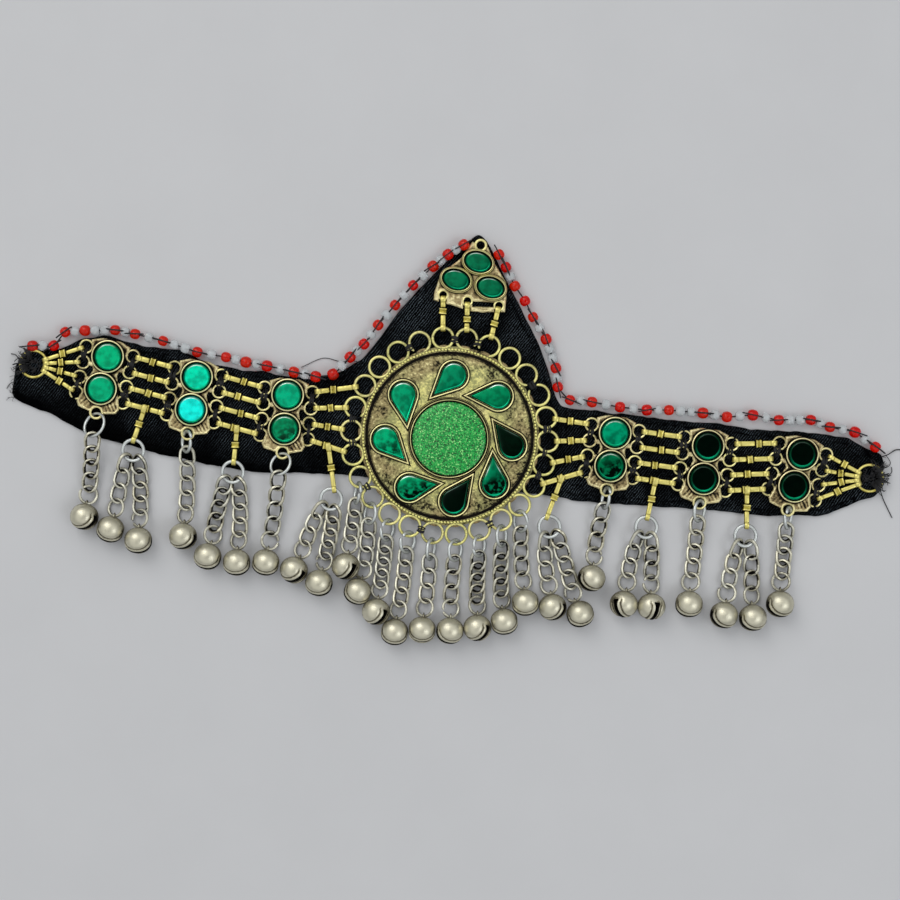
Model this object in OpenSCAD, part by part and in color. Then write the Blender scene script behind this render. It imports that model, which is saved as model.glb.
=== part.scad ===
// Forehead piece: a black cloth band with a peak, sewn-on cast plaques, a round
// medallion, linked bars and chain drops that end in small bells. It lies flat on
// the surface Z = 0. X runs along the band, Y towards the peak, and the origin is
// under the middle of the medallion.

/* [Cloth] */
// Thickness of the cloth band where it lies flat
cloth_t = 1.5; // [1:0.1:2]
// Height of the folds that stand out of the cloth
fold_h = 0.9; // [0.3:0.1:1.1]

/* [Metalwork] */
// Height of the middle of every loop and bar above the surface
loop_z = 3.3; // [3.3:0.05:3.6]
// Thickness of the plates of the plaques
plate_t = 1.2; // [0.8:0.1:1.3]
// Radius of the medallion's disc
medal_r = 32.6; // [32.4:0.1:32.8]
// Number of loops around the medallion
medal_loops = 26; // [26:1:26]
// Radius of a bar between its two eyes
bar_r = 0.75; // [0.6:0.05:0.8]
// Radius of the wire of an end ring
end_wire_r = 0.5; // [0.4:0.05:0.55]

/* [Stones] */
// Radius of a round glass stone
stone_r = 5.0; // [4.6:0.1:5.1]
// Height of a stone above its seat
stone_h = 1.3; // [1:0.1:1.5]
// Radius of the glitter disc in the middle
glitter_r = 13.5; // [13:0.1:13.5]

/* [Drops] */
// Length of a chain link along the middle of its wire
link_l = 7; // [6.95:0.05:7.05]
// Half the width of a chain link along the middle of its wire
link_half_w = 2.5; // [2.4:0.05:2.55]
// Diameter of the wire of links and jump rings
wire_d = 0.95; // [0.8:0.05:0.95]
// Radius of the ring that carries a bell, along the middle of its wire
bell_ring_r = 3.25; // [3.2:0.05:3.3]
// Widest radius of a bell
bell_r = 5.0; // [4.8:0.05:5]
// Wall of a bell
bell_wall = 0.5; // [0.4:0.05:0.6]

/* [Hidden] */
wire_r = wire_d / 2;
plate_low = loop_z - plate_t / 2;
plate_top = loop_z + plate_t / 2;
seat_low = cloth_t + 0.2;
stone_gap = 0.15;
stone_low = plate_top + 0.1;
stone_taper = 0.84;
stone_slope = stone_h * 0.45;
bezel_wall = 0.75;
bezel_h = 1.7;
eye_r = 1.2;
eye_wire_r = 0.5;
collar = 2.6;
collar_l = 2;
loop_wire_r = 0.35;
side_loop_r = 2.35;
foot_loop_r = 2.2;
foot_wire_r = 0.43;
foot_y = -15;
medal_loop_r = 3.8;
medal_wire_r = 0.43;
medal_ring_r = 36.3;
medal_first = 88;
medal_back_in = 5;
rim_wire_r = 0.6;
rim_in = 0.7;
groove_w = 1.1;
groove_in = 1.7;
groove_deep = 0.35;
disc_y = -1;
end_ring_r = 4.9;
bell_arc_off = 0.5;
bell_arc_r = bell_r - bell_arc_off;
bell_half_l = sqrt(bell_arc_r * bell_arc_r - bell_arc_off * bell_arc_off);
bell_pitch = 25;
bell_eye_r = 1.05;
bell_eye_wire_r = 0.3;
bell_eye_x = bell_half_l + 0.85;
bell_ring_wire_r = 0.43;
slot_w = 1.0;
floor_gap = 0.05;
bell_z = bell_arc_r + bell_arc_off * cos(bell_pitch) + floor_gap;
bell_eye_z = bell_z - bell_eye_x * sin(bell_pitch);
flat_in = 2.1;
flat_wire_r = 0.42;
flat_near_z = 3;
flat_far_z = 6.2;
flat_hook = 1.6;
upright_hook = 1.5;
pair_hook = 1.65;
upright_drop = 1.7;
foot_forward = 0.8;
medal_forward = 2.2;
over_cloth = 3;
flat_roll = 30;
link_roll = 27;
pair_roll = 52;
link_z = link_half_w * sin(link_roll) + wire_r + floor_gap;
upright_r = 3.8;
pair_ring_r = 3.9;
pair_spread = 36;
pair_far_z = 2.9;
brass = "darkgoldenrod";
steel = "silver";
green = "seagreen";

// Outline of the cloth: place along the band, lower edge, upper edge
CLOTH = [
    [-163, -7.5, 4], [-161.5, -9, 7], [-157.5, -10, 10], [-147.5, -12.5, 12],
    [-140, -15, 17], [-133, -18, 19], [-116.5, -20, 17.5], [-103, -22, 17.5],
    [-94, -22.3, 14.5], [-84, -23, 13.5], [-71, -23.5, 14], [-54, -21.2, 13.5],
    [-43.5, -20.5, 18], [-36, -19.5, 24], [-30.5, -19.3, 32.5], [-24.5, -19, 44],
    [-14, -18.7, 59], [-7.5, -18.5, 67], [-1.5, -18.2, 74.2], [0.5, -18, 75.5],
    [3.5, -18, 73.5], [9, -17.7, 66], [15.5, -17.5, 56.5], [22, -17.3, 47],
    [27.5, -17, 39.5], [32.5, -17, 30], [36.5, -17, 20.5], [39.5, -17, 16.5],
    [58.5, -17, 17], [77, -15.5, 17.5], [95.5, -14, 18.3], [110.5, -13.5, 18.2],
    [125, -12.5, 19.3], [140, -10, 20], [147, -7, 20], [154, -2.5, 17.3],
    [159.5, 0, 16], [161, 2, 13]
];

// Folds of the cloth: start and end of the ridge, its half width, its share of fold_h
FOLDS = [
    [[-162, 0], [-143, -10.5], 1.6, 1.0], [[-160, -6], [-139, -13.6], 1.3, 0.8],
    [[-146, 15], [-128, 18], 1.4, 0.7], [[-112, 15.5], [-96, 13.5], 1.5, 0.6],
    [[-80, -20.5], [-62, -21.5], 1.4, 0.6], [[-52, 12], [-40, 19.5], 1.5, 0.8],
    [[-22, 44], [-8, 64], 1.6, 0.8], [[9, 62], [24, 42], 1.6, 0.8],
    [[20, 40], [34, 24], 1.8, 0.9], [[44, -15.5], [56, -15], 1.2, 0.5],
    [[66, 16], [88, 16.5], 1.3, 0.7], [[104, 16.5], [124, 17.5], 1.4, 0.7],
    [[139, 17.5], [158, 14.5], 1.5, 0.8], [[143, -6], [156, 1], 1.4, 0.8]
];

// Plaques: middle on X and Y, turn, distance between the two stones
PLAQUES = [
    [-129.3, 5.4, -4.4, 12.2], [-95.5, 2.5, -1.5, 12.2], [-60.9, 0.4, 2.5, 12.6],
    [60.3, 3.4, 0, 12.2], [94.9, 3.5, 0, 12.2], [129.1, 5.4, -6, 12.2]
];
// Right half of a plaque's plate, from the top to the foot loop
PLATE_HALF = [
    [0, 12.4], [3.5, 12.4], [7.3, 11], [6.2, 6.1], [4.6, 0], [6.2, -6.1],
    [8, -12.3], [7.1, -14], [2, -15.3]
];
side_loop_x = 8.8;
SIDE_LOOP_Y = [8.1, 2.2, -3.5, -9.3];
lug_l = 2.6;
lug_w = 1.7;
lug_t = 0.9;
lug_x = side_loop_x - side_loop_r - lug_l / 2 + 0.2;

// Teardrop stones around the medallion: middle of the round end, direction of the tip
TEARS = [
    [-19, 12.7, -75], [-1.5, 22.4, -128], [15.8, 17, -173], [23.3, -0.4, 134.5],
    [18.8, -15.2, 101], [4.8, -23.7, 62], [-12, -20.9, 15], [-23.3, -4.5, -38.5]
];
tear_r = 4.7;
tear_tip = 10.6;
tear_wall = 0.8;
tear_tip_in = 0.45;
tear_tip_out = 3;

// Peak plaque: its plate, the oval stones (middle, turn) and the loops of its base
PEAK_PLATE = [
    [-1.6, 72.2], [-4.6, 66], [-11.6, 58.5], [-12.9, 52], [-12.8, 48.9], [-10.9, 48.6],
    [-10.6, 50.6], [-8.6, 50.6], [-8, 48.2], [-5.2, 47.9], [-1.7, 47.2], [-1.45, 50.2],
    [0.9, 50.3], [1.6, 50.4], [9.4, 51.2], [12.3, 50.9], [12.4, 48], [13.9, 48.1],
    [13.7, 53.5], [12.8, 59], [7.6, 65.5], [4.4, 71]
];
// Narrow strip of the plate below the slot of its base
PEAK_STRIP = [
    [0.75, 49], [1.35, 49.55], [1.7, 48.5], [9.2, 49.4], [9.5, 49.9], [10.15, 49.3],
    [10, 47.7], [6, 46.9], [1.3, 46.7]
];
peak_strip_t = 0.8;
OVALS = [[1.5, 65, -9], [-5.6, 57.4, -9], [7.4, 56.3, -9]];
oval_a = 4.9;
oval_b = 3.5;
PEAK_LOOPS = [[-9.6, 51.3], [-0.4, 50.3], [11.4, 50.2]];
peak_loop_r = 1.7;
PEAK_EYE = [1.6, 71.3];
peak_eye_r = 1.95;
peak_eye_wire_r = 0.45;
peak_eye_hole = 1.6;

// End rings: middle, and the angles at which the four bars hold them
END_RINGS = [[-155.9, 5], [155.9, 6.2]];
END_ANGLES = [[27.5, 10, -8, -26], [161, 180, 198, 216]];

// Which of the medallion's loops the bars hold, from the top down
LEFT_LOOPS = [157.2, 171.1, 184.9, 198.8];
RIGHT_LOOPS = [18.8, 4.9, -8.9, -22.8];
PEAK_LOOP_ANGLES = [101.8, 88, 74.2];

// Drops under a plaque's foot loop: plaque, bell on X and Y, links, slot turn,
// radius of a jump ring that lies flat (0 when it stands), sideways sway, bell swing
FOOT_DROPS = [
    [0, -129.1, -48.2, 4, 25, 4.5, 0.2, 0], [1, -92.1, -50.3, 4, 20, 0, 0.5, 0],
    [2, -60.6, -55.6, 4, -5, 4.2, 0.3, 0], [3, 59.1, -44.6, 3, -20, 0, -0.5, 0],
    [4, 96, -49.1, 4, 0, 0, 0.4, 0], [5, 129.2, -44.4, 4, -15, 0, 0.4, 0]
];
// Pairs under a hanger: foot of the hanger, then bell, links, slot turn, sway and
// swing for the left drop and for the right one
PAIRS = [
    [[-115.3, -17.6], [-119, -51.5, 3, -10, -0.3, 0], [-108.2, -54.1, 4, 0, 0.5, 0]],
    [[-77.6, -20.4], [-82.1, -56.4, 4, 5, -0.5, 0], [-71.2, -57.1, 4, 0, 0.9, 0]],
    [[-39.5, -25.4], [-49.9, -56.9, 3, 40, -0.6, 0], [-40.1, -60.4, 4, 10, 0.4, 0]],
    [[39.9, -24.4], [46.4, -57.2, 3, 30, -0.9, 0], [56.8, -58.3, 4, -10, 0.2, 4]],
    [[76.6, -19.4], [72.2, -52.4, 3, -45, -0.8, 0], [82.4, -51.9, 3, 70, 0.4, 0]],
    [[113.3, -17.4], [109.3, -51.3, 3, -15, -0.4, 0], [120, -50.8, 3, -15, 0.4, 0]]
];
// Drops under the medallion: angle of the loop, bell on X and Y, links, slot turn,
// sway, swing
MEDAL_DROPS = [
    [-147.4, -31.2, -52.9, 3, 50, 0.1, 0], [-133.5, -25.6, -61.5, 3, -10, 0.5, -8],
    [-119.7, -17.8, -67.9, 4, 45, 0.3, 0], [-105.8, -10, -74.4, 4, 0, 0.5, 0],
    [-91.9, -0.1, -72.2, 3, 180, 0.3, 0], [-78.1, 10.1, -71.1, 3, -15, -0.5, 0],
    [-64.3, 20, -68.6, 4, 40, -0.4, 0], [-50.4, 29.5, -65, 4, 0, -0.5, 6],
    [-36.6, 36.2, -57, 3, 0, -0.5, 0]
];

STONE_NODES = [for (p = [1:6]) for (s = ["upper", "lower"]) str("stone_", p, "_", s)];
PLAQUE_NODES = [for (p = [1:6]) str("plaque_", p)];
TEAR_NODES = [for (t = [1:8]) str("teardrop_", t)];
OVAL_NODES = ["peak_stone_top", "peak_stone_left", "peak_stone_right"];
BAR_NODES = [
    "bars_left_end", "bars_left_outer", "bars_left_inner", "bars_left_medal",
    "bars_right_medal", "bars_right_inner", "bars_right_outer", "bars_right_end"
];
DROP_NODES = [for (d = [1:6]) str("bell_drop_", d)];
PAIR_NODES = [for (d = [1:6]) str("bell_pair_", d)];
MEDAL_DROP_NODES = ["medal_drops_left", "medal_drops_middle", "medal_drops_right"];

function polar(r, a) = [r * cos(a), r * sin(a)];
function turned(p, a) = [p.x * cos(a) - p.y * sin(a), p.x * sin(a) + p.y * cos(a)];
function unit(v) = v / norm(v);
function lift(p, z) = [p.x, p.y, z];
function clamp01(v) = max(0, min(1, v));

// Places its children with local X running from p to q, rolled about that line
module aim(p, q, roll = 0) {
    d = q - p;
    level = norm([d.x, d.y]);
    translate((p + q) / 2)
        rotate([0, -atan2(d.z, level), atan2(d.y, d.x)])
            rotate([roll, 0, 0])
                children();
}

module wire_ring(r, wire) {
    rotate_extrude($fn = 48)
        translate([r, 0])
            circle(wire, $fn = 20);
}

// Cloth band
function station(i, s) = CLOTH[i] * (1 - s) + CLOTH[i + 1] * s;
CLOTH_STEPS = 3;
CLOTH_ROWS = [
    for (i = [0:len(CLOTH) - 2]) for (k = [0:CLOTH_STEPS - 1]) station(i, k / CLOTH_STEPS),
    CLOTH[len(CLOTH) - 1]
];
// Shares of the width at which the cloth has points, closer together at the edges
CLOTH_ACROSS = [0, 0.05, 0.14, 0.27, 0.42, 0.58, 0.73, 0.86, 0.95, 1];

function line_distance(p, a, b) =
    let (ab = b - a, s = clamp01((p - a) * ab / (ab * ab)))
    norm(p - a - ab * s);
function fold_rise(p) = max([
    for (f = FOLDS) f[3] * exp(-pow(line_distance(p, f[0], f[1]) / f[2], 2))
]);
// The satin is turned in along the edge, which leaves it a little thinner there
function edge_dip(share) = 0.35 * pow(abs(2 * share - 1), 8);
function cloth_z(p, share) = cloth_t + fold_h * fold_rise(p) - edge_dip(share);

module cloth_band() {
    rows = len(CLOTH_ROWS);
    cols = len(CLOTH_ACROSS);
    flat = [for (r = CLOTH_ROWS) for (s = CLOTH_ACROSS) [r[0], r[1] + (r[2] - r[1]) * s, s]];
    top = [for (p = flat) [p.x, p.y, cloth_z([p.x, p.y], p[2])]];
    under = [for (p = flat) [p.x, p.y, 0]];
    n = rows * cols;
    top_faces = [
        for (i = [0:rows - 2]) for (j = [0:cols - 2])
            let (a = i * cols + j)
            each [[a, a + 1, a + cols], [a + 1, a + cols + 1, a + cols]]
    ];
    rim = concat(
        [for (i = [0:rows - 1]) i * cols],
        [for (j = [1:cols - 1]) (rows - 1) * cols + j],
        [for (i = [rows - 2:-1:0]) i * cols + cols - 1],
        [for (j = [cols - 2:-1:1]) j]
    );
    rim_faces = [
        for (k = [0:len(rim) - 1])
            let (a = rim[k], b = rim[(k + 1) % len(rim)])
            each [[a, b, b + n], [a, b + n, a + n]]
    ];
    // The flat underside has points along its rim only: a fan at each end, then strips
    far = cols - 1;
    last = (rows - 1) * cols;
    before = last - cols;
    under_faces = concat(
        [for (j = [0:far - 1]) [n + cols, n + j + 1, n + j]],
        [[n + cols, n + cols + far, n + far]],
        [for (i = [1:rows - 3])
            let (a = n + i * cols, b = a + cols)
            each [[a, b, b + far], [a, b + far, a + far]]],
        [for (j = [0:far - 1]) [n + before + far, n + last + j, n + last + j + 1]],
        [[n + before, n + last, n + before + far]]
    );
    color("black")
        polyhedron(
            points = concat(top, under),
            faces = concat(top_faces, rim_faces, under_faces),
            convexity = 6
        );
}

// Cups and stones
module bezel(depth = bezel_h) {
    translate([0, 0, plate_top - 0.1])
        linear_extrude(depth + 0.1)
            difference() {
                children(0);
                children(1);
            }
}

// A round cup on a plaque, from its underside to the rim around the stone
module round_cup() {
    inner = stone_r + stone_gap;
    outer = inner + bezel_wall;
    rim = plate_top + bezel_h;
    rotate_extrude($fn = 64)
        polygon([
            [0, seat_low], [stone_r, seat_low], [stone_r, plate_low + 0.2],
            [outer, plate_low + 0.2], [outer, rim], [inner, rim], [inner, plate_top], [0, plate_top]
        ]);
}

module teardrop_2d(r, tip) {
    side = acos(r / tip);
    circle(r, $fn = 48);
    polygon([polar(r, side), [tip, 0], polar(r, -side)]);
}

// The same outline with straight steps round its arc, for a stone that tapers
module stepped_teardrop_2d(r, tip) {
    side = acos(r / tip);
    steps = 30;
    polygon(concat(
        [[tip, 0]],
        [for (k = [0:steps]) polar(r, side + k * (360 - 2 * side) / steps)]
    ));
}

module oval_2d(a, b) {
    polygon([for (t = [0:9:351]) [a * cos(t), b * sin(t)]]);
}

module stone_body(r) {
    translate([0, 0, stone_low])
        rotate_extrude($fn = 64)
            polygon([
                [0, 0], [r, 0], [r, stone_h - stone_slope], [r * stone_taper, stone_h], [0, stone_h]
            ]);
}

module capped_stone() {
    wall = stone_h - stone_slope;
    translate([0, 0, stone_low])
        linear_extrude(wall)
            children();
    translate([0, 0, stone_low + wall])
        linear_extrude(stone_slope, scale = stone_taper)
            children();
}

// Plaques of the band
module plaque_frame(p) {
    translate([PLAQUES[p][0], PLAQUES[p][1], 0])
        rotate(PLAQUES[p][2])
            children();
}

module plaque(p) {
    spread = PLAQUES[p][3] / 2;
    left_half = [for (i = [len(PLATE_HALF) - 1:-1:1]) [-PLATE_HALF[i].x, PLATE_HALF[i].y]];
    color(brass)
        plaque_frame(p) {
            difference() {
                translate([0, 0, plate_low])
                    linear_extrude(plate_t)
                        polygon(concat(PLATE_HALF, left_half));
                translate([0, foot_y, 0])
                    cylinder(r = foot_loop_r - foot_wire_r * 0.6, h = 10, $fn = 32);
            }
            for (y = [spread, -spread])
                translate([0, y, 0])
                    round_cup();
            for (side = [-1, 1])
                for (y = SIDE_LOOP_Y) {
                    translate([side * side_loop_x, y, loop_z])
                        wire_ring(side_loop_r, loop_wire_r);
                    translate([side * lug_x, y, loop_z])
                        cube([lug_l, lug_w, lug_t], center = true);
                }
            translate([0, foot_y, loop_z])
                wire_ring(foot_loop_r, foot_wire_r);
        }
}

module round_stone(p, side) {
    color(green)
        plaque_frame(p)
            translate([0, side * PLAQUES[p][3] / 2, 0])
                stone_body(stone_r);
}

// Medallion
module tear_frame(t) {
    translate([TEARS[t][0], TEARS[t][1], 0])
        rotate(TEARS[t][2])
            children();
}

module medallion() {
    groove_r = medal_r - groove_in;
    cup_r = glitter_r + stone_gap;
    color(brass)
        difference() {
            union() {
                translate([0, 0, plate_low])
                    cylinder(r = medal_r, h = plate_t, $fn = 96);
                translate([0, 0, seat_low])
                    cylinder(r = medal_r - medal_back_in, h = plate_low - seat_low + 0.1, $fn = 96);
                translate([0, 0, plate_top])
                    wire_ring(medal_r - rim_in, rim_wire_r);
                for (t = [0:len(TEARS) - 1])
                    tear_frame(t)
                        bezel() {
                            teardrop_2d(tear_r + stone_gap + tear_wall, tear_tip + tear_tip_out);
                            teardrop_2d(tear_r + stone_gap, tear_tip + tear_tip_in);
                        }
                translate([0, disc_y, 0])
                    bezel() {
                        circle(cup_r + tear_wall, $fn = 96);
                        circle(cup_r, $fn = 96);
                    }
                for (k = [0:medal_loops - 1])
                    rotate(medal_first + k * 360 / medal_loops)
                        translate([medal_ring_r, 0, loop_z])
                            wire_ring(medal_loop_r, medal_wire_r);
            }
            translate([0, 0, plate_top - groove_deep])
                linear_extrude(groove_deep + 0.01)
                    difference() {
                        circle(groove_r, $fn = 96);
                        circle(groove_r - groove_w, $fn = 96);
                    }
        }
}

module teardrop(t) {
    color(green)
        tear_frame(t)
            capped_stone()
                stepped_teardrop_2d(tear_r, tear_tip);
}

module glitter_disc() {
    color("green")
        translate([0, disc_y, 0])
            stone_body(glitter_r);
}

// Peak plaque
module peak_frame(i) {
    translate([OVALS[i].x, OVALS[i].y, 0])
        rotate(OVALS[i][2])
            children();
}

module peak_plaque() {
    color(brass) {
        difference() {
            translate([0, 0, plate_low])
                linear_extrude(plate_t)
                    polygon(PEAK_PLATE);
            translate([PEAK_EYE.x, PEAK_EYE.y, 0])
                cylinder(r = peak_eye_hole, h = 10, $fn = 32);
            for (l = PEAK_LOOPS)
                translate([l.x, l.y, 0])
                    cylinder(r = peak_loop_r - 0.2, h = 10, $fn = 32);
        }
        translate([PEAK_EYE.x, PEAK_EYE.y, loop_z])
            wire_ring(peak_eye_r, peak_eye_wire_r);
        for (l = PEAK_LOOPS)
            translate([l.x, l.y, loop_z])
                wire_ring(peak_loop_r, loop_wire_r);
        translate([0, 0, loop_z - peak_strip_t / 2])
            linear_extrude(peak_strip_t)
                polygon(PEAK_STRIP);
        for (i = [0:len(OVALS) - 1]) {
            peak_frame(i)
                bezel() {
                    oval_2d(oval_a + stone_gap + 0.7, oval_b + stone_gap + 0.7);
                    oval_2d(oval_a + stone_gap, oval_b + stone_gap);
                }
            peak_frame(i)
                translate([0, 0, seat_low])
                    linear_extrude(plate_low - seat_low + 0.1)
                        oval_2d(oval_a - 0.3, oval_b - 0.3);
        }
    }
}

module peak_stone(i) {
    color(green)
        peak_frame(i)
            capped_stone()
                oval_2d(oval_a, oval_b);
}

// Bars: a rod with a square collar and an eye around the wire of a loop at each end
module bar_eye() {
    rotate([90, 0, 0])
        wire_ring(eye_r, eye_wire_r);
}

module rod(length) {
    span = length - 2 * eye_r;
    translate([-span / 2, 0, 0])
        rotate([0, 90, 0])
            cylinder(r = bar_r, h = span, $fn = 24);
    translate([-collar_l / 2, -collar / 2, -collar / 2])
        cube([collar_l, collar, collar]);
}

module bar(a, b) {
    length = norm(b - a);
    aim(lift(a, loop_z), lift(b, loop_z)) {
        rod(length);
        for (side = [-1, 1])
            translate([side * length / 2, 0, 0])
                bar_eye();
    }
}

// The lowest bar of a gap carries a hanger that points down to a pair of drops
module hanger(top, foot) {
    length = norm(foot - top);
    aim(lift(top, loop_z), lift(foot, loop_z)) {
        translate([-length / 2, 0, 0])
            rotate([0, 90, 0])
                cylinder(r = bar_r, h = length - eye_r, $fn = 24);
        translate([-collar_l / 2, -collar / 2, -collar / 2])
            cube([collar_l, collar, collar]);
        translate([length / 2, 0, 0])
            bar_eye();
    }
}

function side_loop(p, side, k) =
    [PLAQUES[p][0], PLAQUES[p][1]] + turned([side * side_loop_x, SIDE_LOOP_Y[k]], PLAQUES[p][2]);
function hold(a, ra, b) = a + ra * unit(b - a);

// One row of each gap: the two loops that its bar joins, with their radii
function gap_row(g, k) =
    g == 0 ? [END_RINGS[0], end_ring_r, side_loop(0, -1, k), side_loop_r] :
    g == 1 ? [side_loop(0, 1, k), side_loop_r, side_loop(1, -1, k), side_loop_r] :
    g == 2 ? [side_loop(1, 1, k), side_loop_r, side_loop(2, -1, k), side_loop_r] :
    g == 3 ? [side_loop(2, 1, k), side_loop_r, polar(medal_ring_r, LEFT_LOOPS[k]), medal_loop_r] :
    g == 4 ? [polar(medal_ring_r, RIGHT_LOOPS[k]), medal_loop_r, side_loop(3, -1, k), side_loop_r] :
    g == 5 ? [side_loop(3, 1, k), side_loop_r, side_loop(4, -1, k), side_loop_r] :
    g == 6 ? [side_loop(4, 1, k), side_loop_r, side_loop(5, -1, k), side_loop_r] :
    [side_loop(5, 1, k), side_loop_r, END_RINGS[1], end_ring_r];

function bar_start(g, k) =
    let (row = gap_row(g, k))
    g == 0 ? END_RINGS[0] + polar(end_ring_r, END_ANGLES[0][k]) : hold(row[0], row[1], row[2]);
function bar_finish(g, k) =
    let (row = gap_row(g, k))
    g == 7 ? END_RINGS[1] + polar(end_ring_r, END_ANGLES[1][k]) : hold(row[2], row[3], row[0]);

module gap_bars(g) {
    lowest = 3;
    color(brass)
        for (k = [0:lowest]) {
            start = bar_start(g, k);
            finish = bar_finish(g, k);
            bar(start, finish);
            if (k == lowest && g > 0 && g < 7)
                hanger((start + finish) / 2, PAIRS[g - 1][0]);
        }
}

module bars_peak() {
    color(brass)
        for (k = [0:2]) {
            low = polar(medal_ring_r, PEAK_LOOP_ANGLES[k]);
            high = PEAK_LOOPS[k];
            bar(hold(high, peak_loop_r, low), hold(low, medal_loop_r, high));
        }
}

module end_ring(side) {
    color(brass)
        translate([END_RINGS[side].x, END_RINGS[side].y, loop_z])
            wire_ring(end_ring_r, end_wire_r);
}

// Bell, with its eye at -X and its slot at +X
module bell_profile(grow) {
    intersection() {
        translate([bell_arc_off, 0])
            circle(bell_arc_r + grow, $fn = 64);
        translate([0, -10])
            square([20, 20]);
    }
}

module bell(slot) {
    difference() {
        rotate([0, 90, 0])
            rotate_extrude($fn = 64)
                difference() {
                    bell_profile(0);
                    bell_profile(-bell_wall);
                }
        rotate([slot, 0, 0]) {
            translate([0, -10, -slot_w / 2])
                cube([10, 20, slot_w]);
            rotate([90, 0, 0])
                cylinder(r = slot_w * 0.9, h = 20, center = true, $fn = 24);
        }
    }
    translate([-bell_eye_x, 0, 0])
        rotate([90, 0, 0])
            wire_ring(bell_eye_r, bell_eye_wire_r);
}

// Chain link: an oval of round wire, lying along X
module chain_link() {
    straight = link_l - 2 * link_half_w;
    for (side = [-1, 1]) {
        translate([side * straight / 2, 0, 0])
            rotate(side > 0 ? -90 : 90)
                rotate_extrude(angle = 180, $fn = 48)
                    translate([link_half_w, 0])
                        circle(wire_r, $fn = 20);
        translate([-straight / 2, side * link_half_w, 0])
            rotate([0, 90, 0])
                cylinder(r = wire_r, h = straight, $fn = 20);
    }
}

// Height of the chain's middle line: from z1 it comes down to the surface after
// a level stretch, and rises at the end to the eye of the bell
function chain_z(s, total, z1, level) =
    let (fall = 4 * max(1, z1 - link_z), last = 2 * bell_ring_r,
         down = z1 - (z1 - link_z) * clamp01((s - level) / fall),
         up = clamp01((s - total + last) / last))
    down + (bell_eye_z - link_z) * up;
function chain_point(a, e, s, z1, level, sway) =
    let (d = e - a, total = norm(d), u = d / total)
    lift(a + u * s + sway * sin(180 * clamp01(s / total)) * [-u.y, u.x],
         chain_z(s, total, z1, level));

// How far a link that is rolled by this angle has to be lifted off the surface
function link_lift(p, q, roll) =
    let (slope = (p.z - q.z) / link_l,
         depth = (link_l / 2 - link_half_w) * abs(slope) + link_half_w * norm([sin(roll), slope]))
    [0, 0, max(0, depth + wire_r + floor_gap - (p.z + q.z) / 2)];

// A chain from the wire at a to a bell: links, the ring that carries it, the bell
module drop(a, centre, links, slot, sway, swing, z1, level, lean, first_roll, first_hook) {
    e = centre - bell_eye_x * cos(bell_pitch) * turned(unit(centre - a), swing);
    total = norm(e - a);
    overlap = (links * link_l + 2 * bell_ring_r - first_hook - total) / links;
    assert(overlap > wire_d + 0.1, "a chain is too short for its drop");
    assert(link_l - 2 * overlap > wire_d + 0.1, "a chain is too slack for its drop");
    for (k = [0:links - 1]) {
        s = -first_hook + k * (link_l - overlap);
        roll = lean * (k == 0 ? first_roll : pow(-1, k) * link_roll);
        near = chain_point(a, e, s, z1, level, sway);
        far = chain_point(a, e, s + link_l, z1, level, sway);
        up = link_lift(near, far, roll);
        aim(near + up, far + up, roll)
            chain_link();
    }
    aim(chain_point(a, e, total - 2 * bell_ring_r, z1, level, sway),
        chain_point(a, e, total, z1, level, sway), lean * pow(-1, links) * link_roll)
        wire_ring(bell_ring_r, bell_ring_wire_r);
    heading = centre - e;
    translate(lift(centre, bell_z))
        rotate([0, -bell_pitch, atan2(heading.y, heading.x)])
            bell(slot);
}

// A jump ring that stands upright around the wire at h, with its middle height z
module upright_ring(h, u, forward, z) {
    translate(lift(h + u * forward, z))
        rotate([0, 0, atan2(u.y, u.x)])
            rotate([90, 0, 0])
                wire_ring(upright_r, wire_r);
}

module foot_drop(d) {
    row = FOOT_DROPS[d];
    centre = [row[1], row[2]];
    p = PLAQUES[row[0]];
    foot = [p.x, p.y] + turned([0, foot_y], p[2]);
    u = unit(centre - foot);
    h = foot + foot_loop_r * u;
    flat_r = row[5];
    color(steel)
        if (flat_r > 0) {
            out = 2 * flat_r - flat_in;
            aim(lift(h - flat_in * u, flat_near_z), lift(h + out * u, flat_far_z), flat_roll)
                wire_ring(flat_r, flat_wire_r);
            drop(h + out * u, centre, row[3], row[4], row[6], row[7],
                 flat_far_z, 0, -1, link_roll, flat_hook);
        } else {
            stand_z = cloth_t + 0.1 + upright_r + wire_r;
            reach = sqrt(pow(upright_r, 2) - pow(upright_drop, 2));
            level = p.x < -90 ? over_cloth : 0;
            upright_ring(h, u, foot_forward, stand_z);
            drop(h + (foot_forward + reach) * u, centre, row[3], row[4], row[6], row[7],
                 stand_z - upright_drop, level, 1, link_roll, upright_hook);
        }
}

module drop_pair(d) {
    foot = PAIRS[d][0];
    left = PAIRS[d][1];
    right = PAIRS[d][2];
    u = unit(([left[0], left[1]] + [right[0], right[1]]) / 2 - foot);
    middle = foot + pair_ring_r * u;
    color(steel) {
        aim(lift(foot, loop_z), lift(foot + 2 * pair_ring_r * u, pair_far_z))
            wire_ring(pair_ring_r, wire_r);
        for (side = [-1, 1]) {
            row = side < 0 ? left : right;
            a = middle + pair_ring_r * turned(u, side * pair_spread);
            drop(a, [row[0], row[1]], row[2], row[3], row[4], row[5],
                 pair_far_z, 0, side, pair_roll, pair_hook);
        }
    }
}

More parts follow.
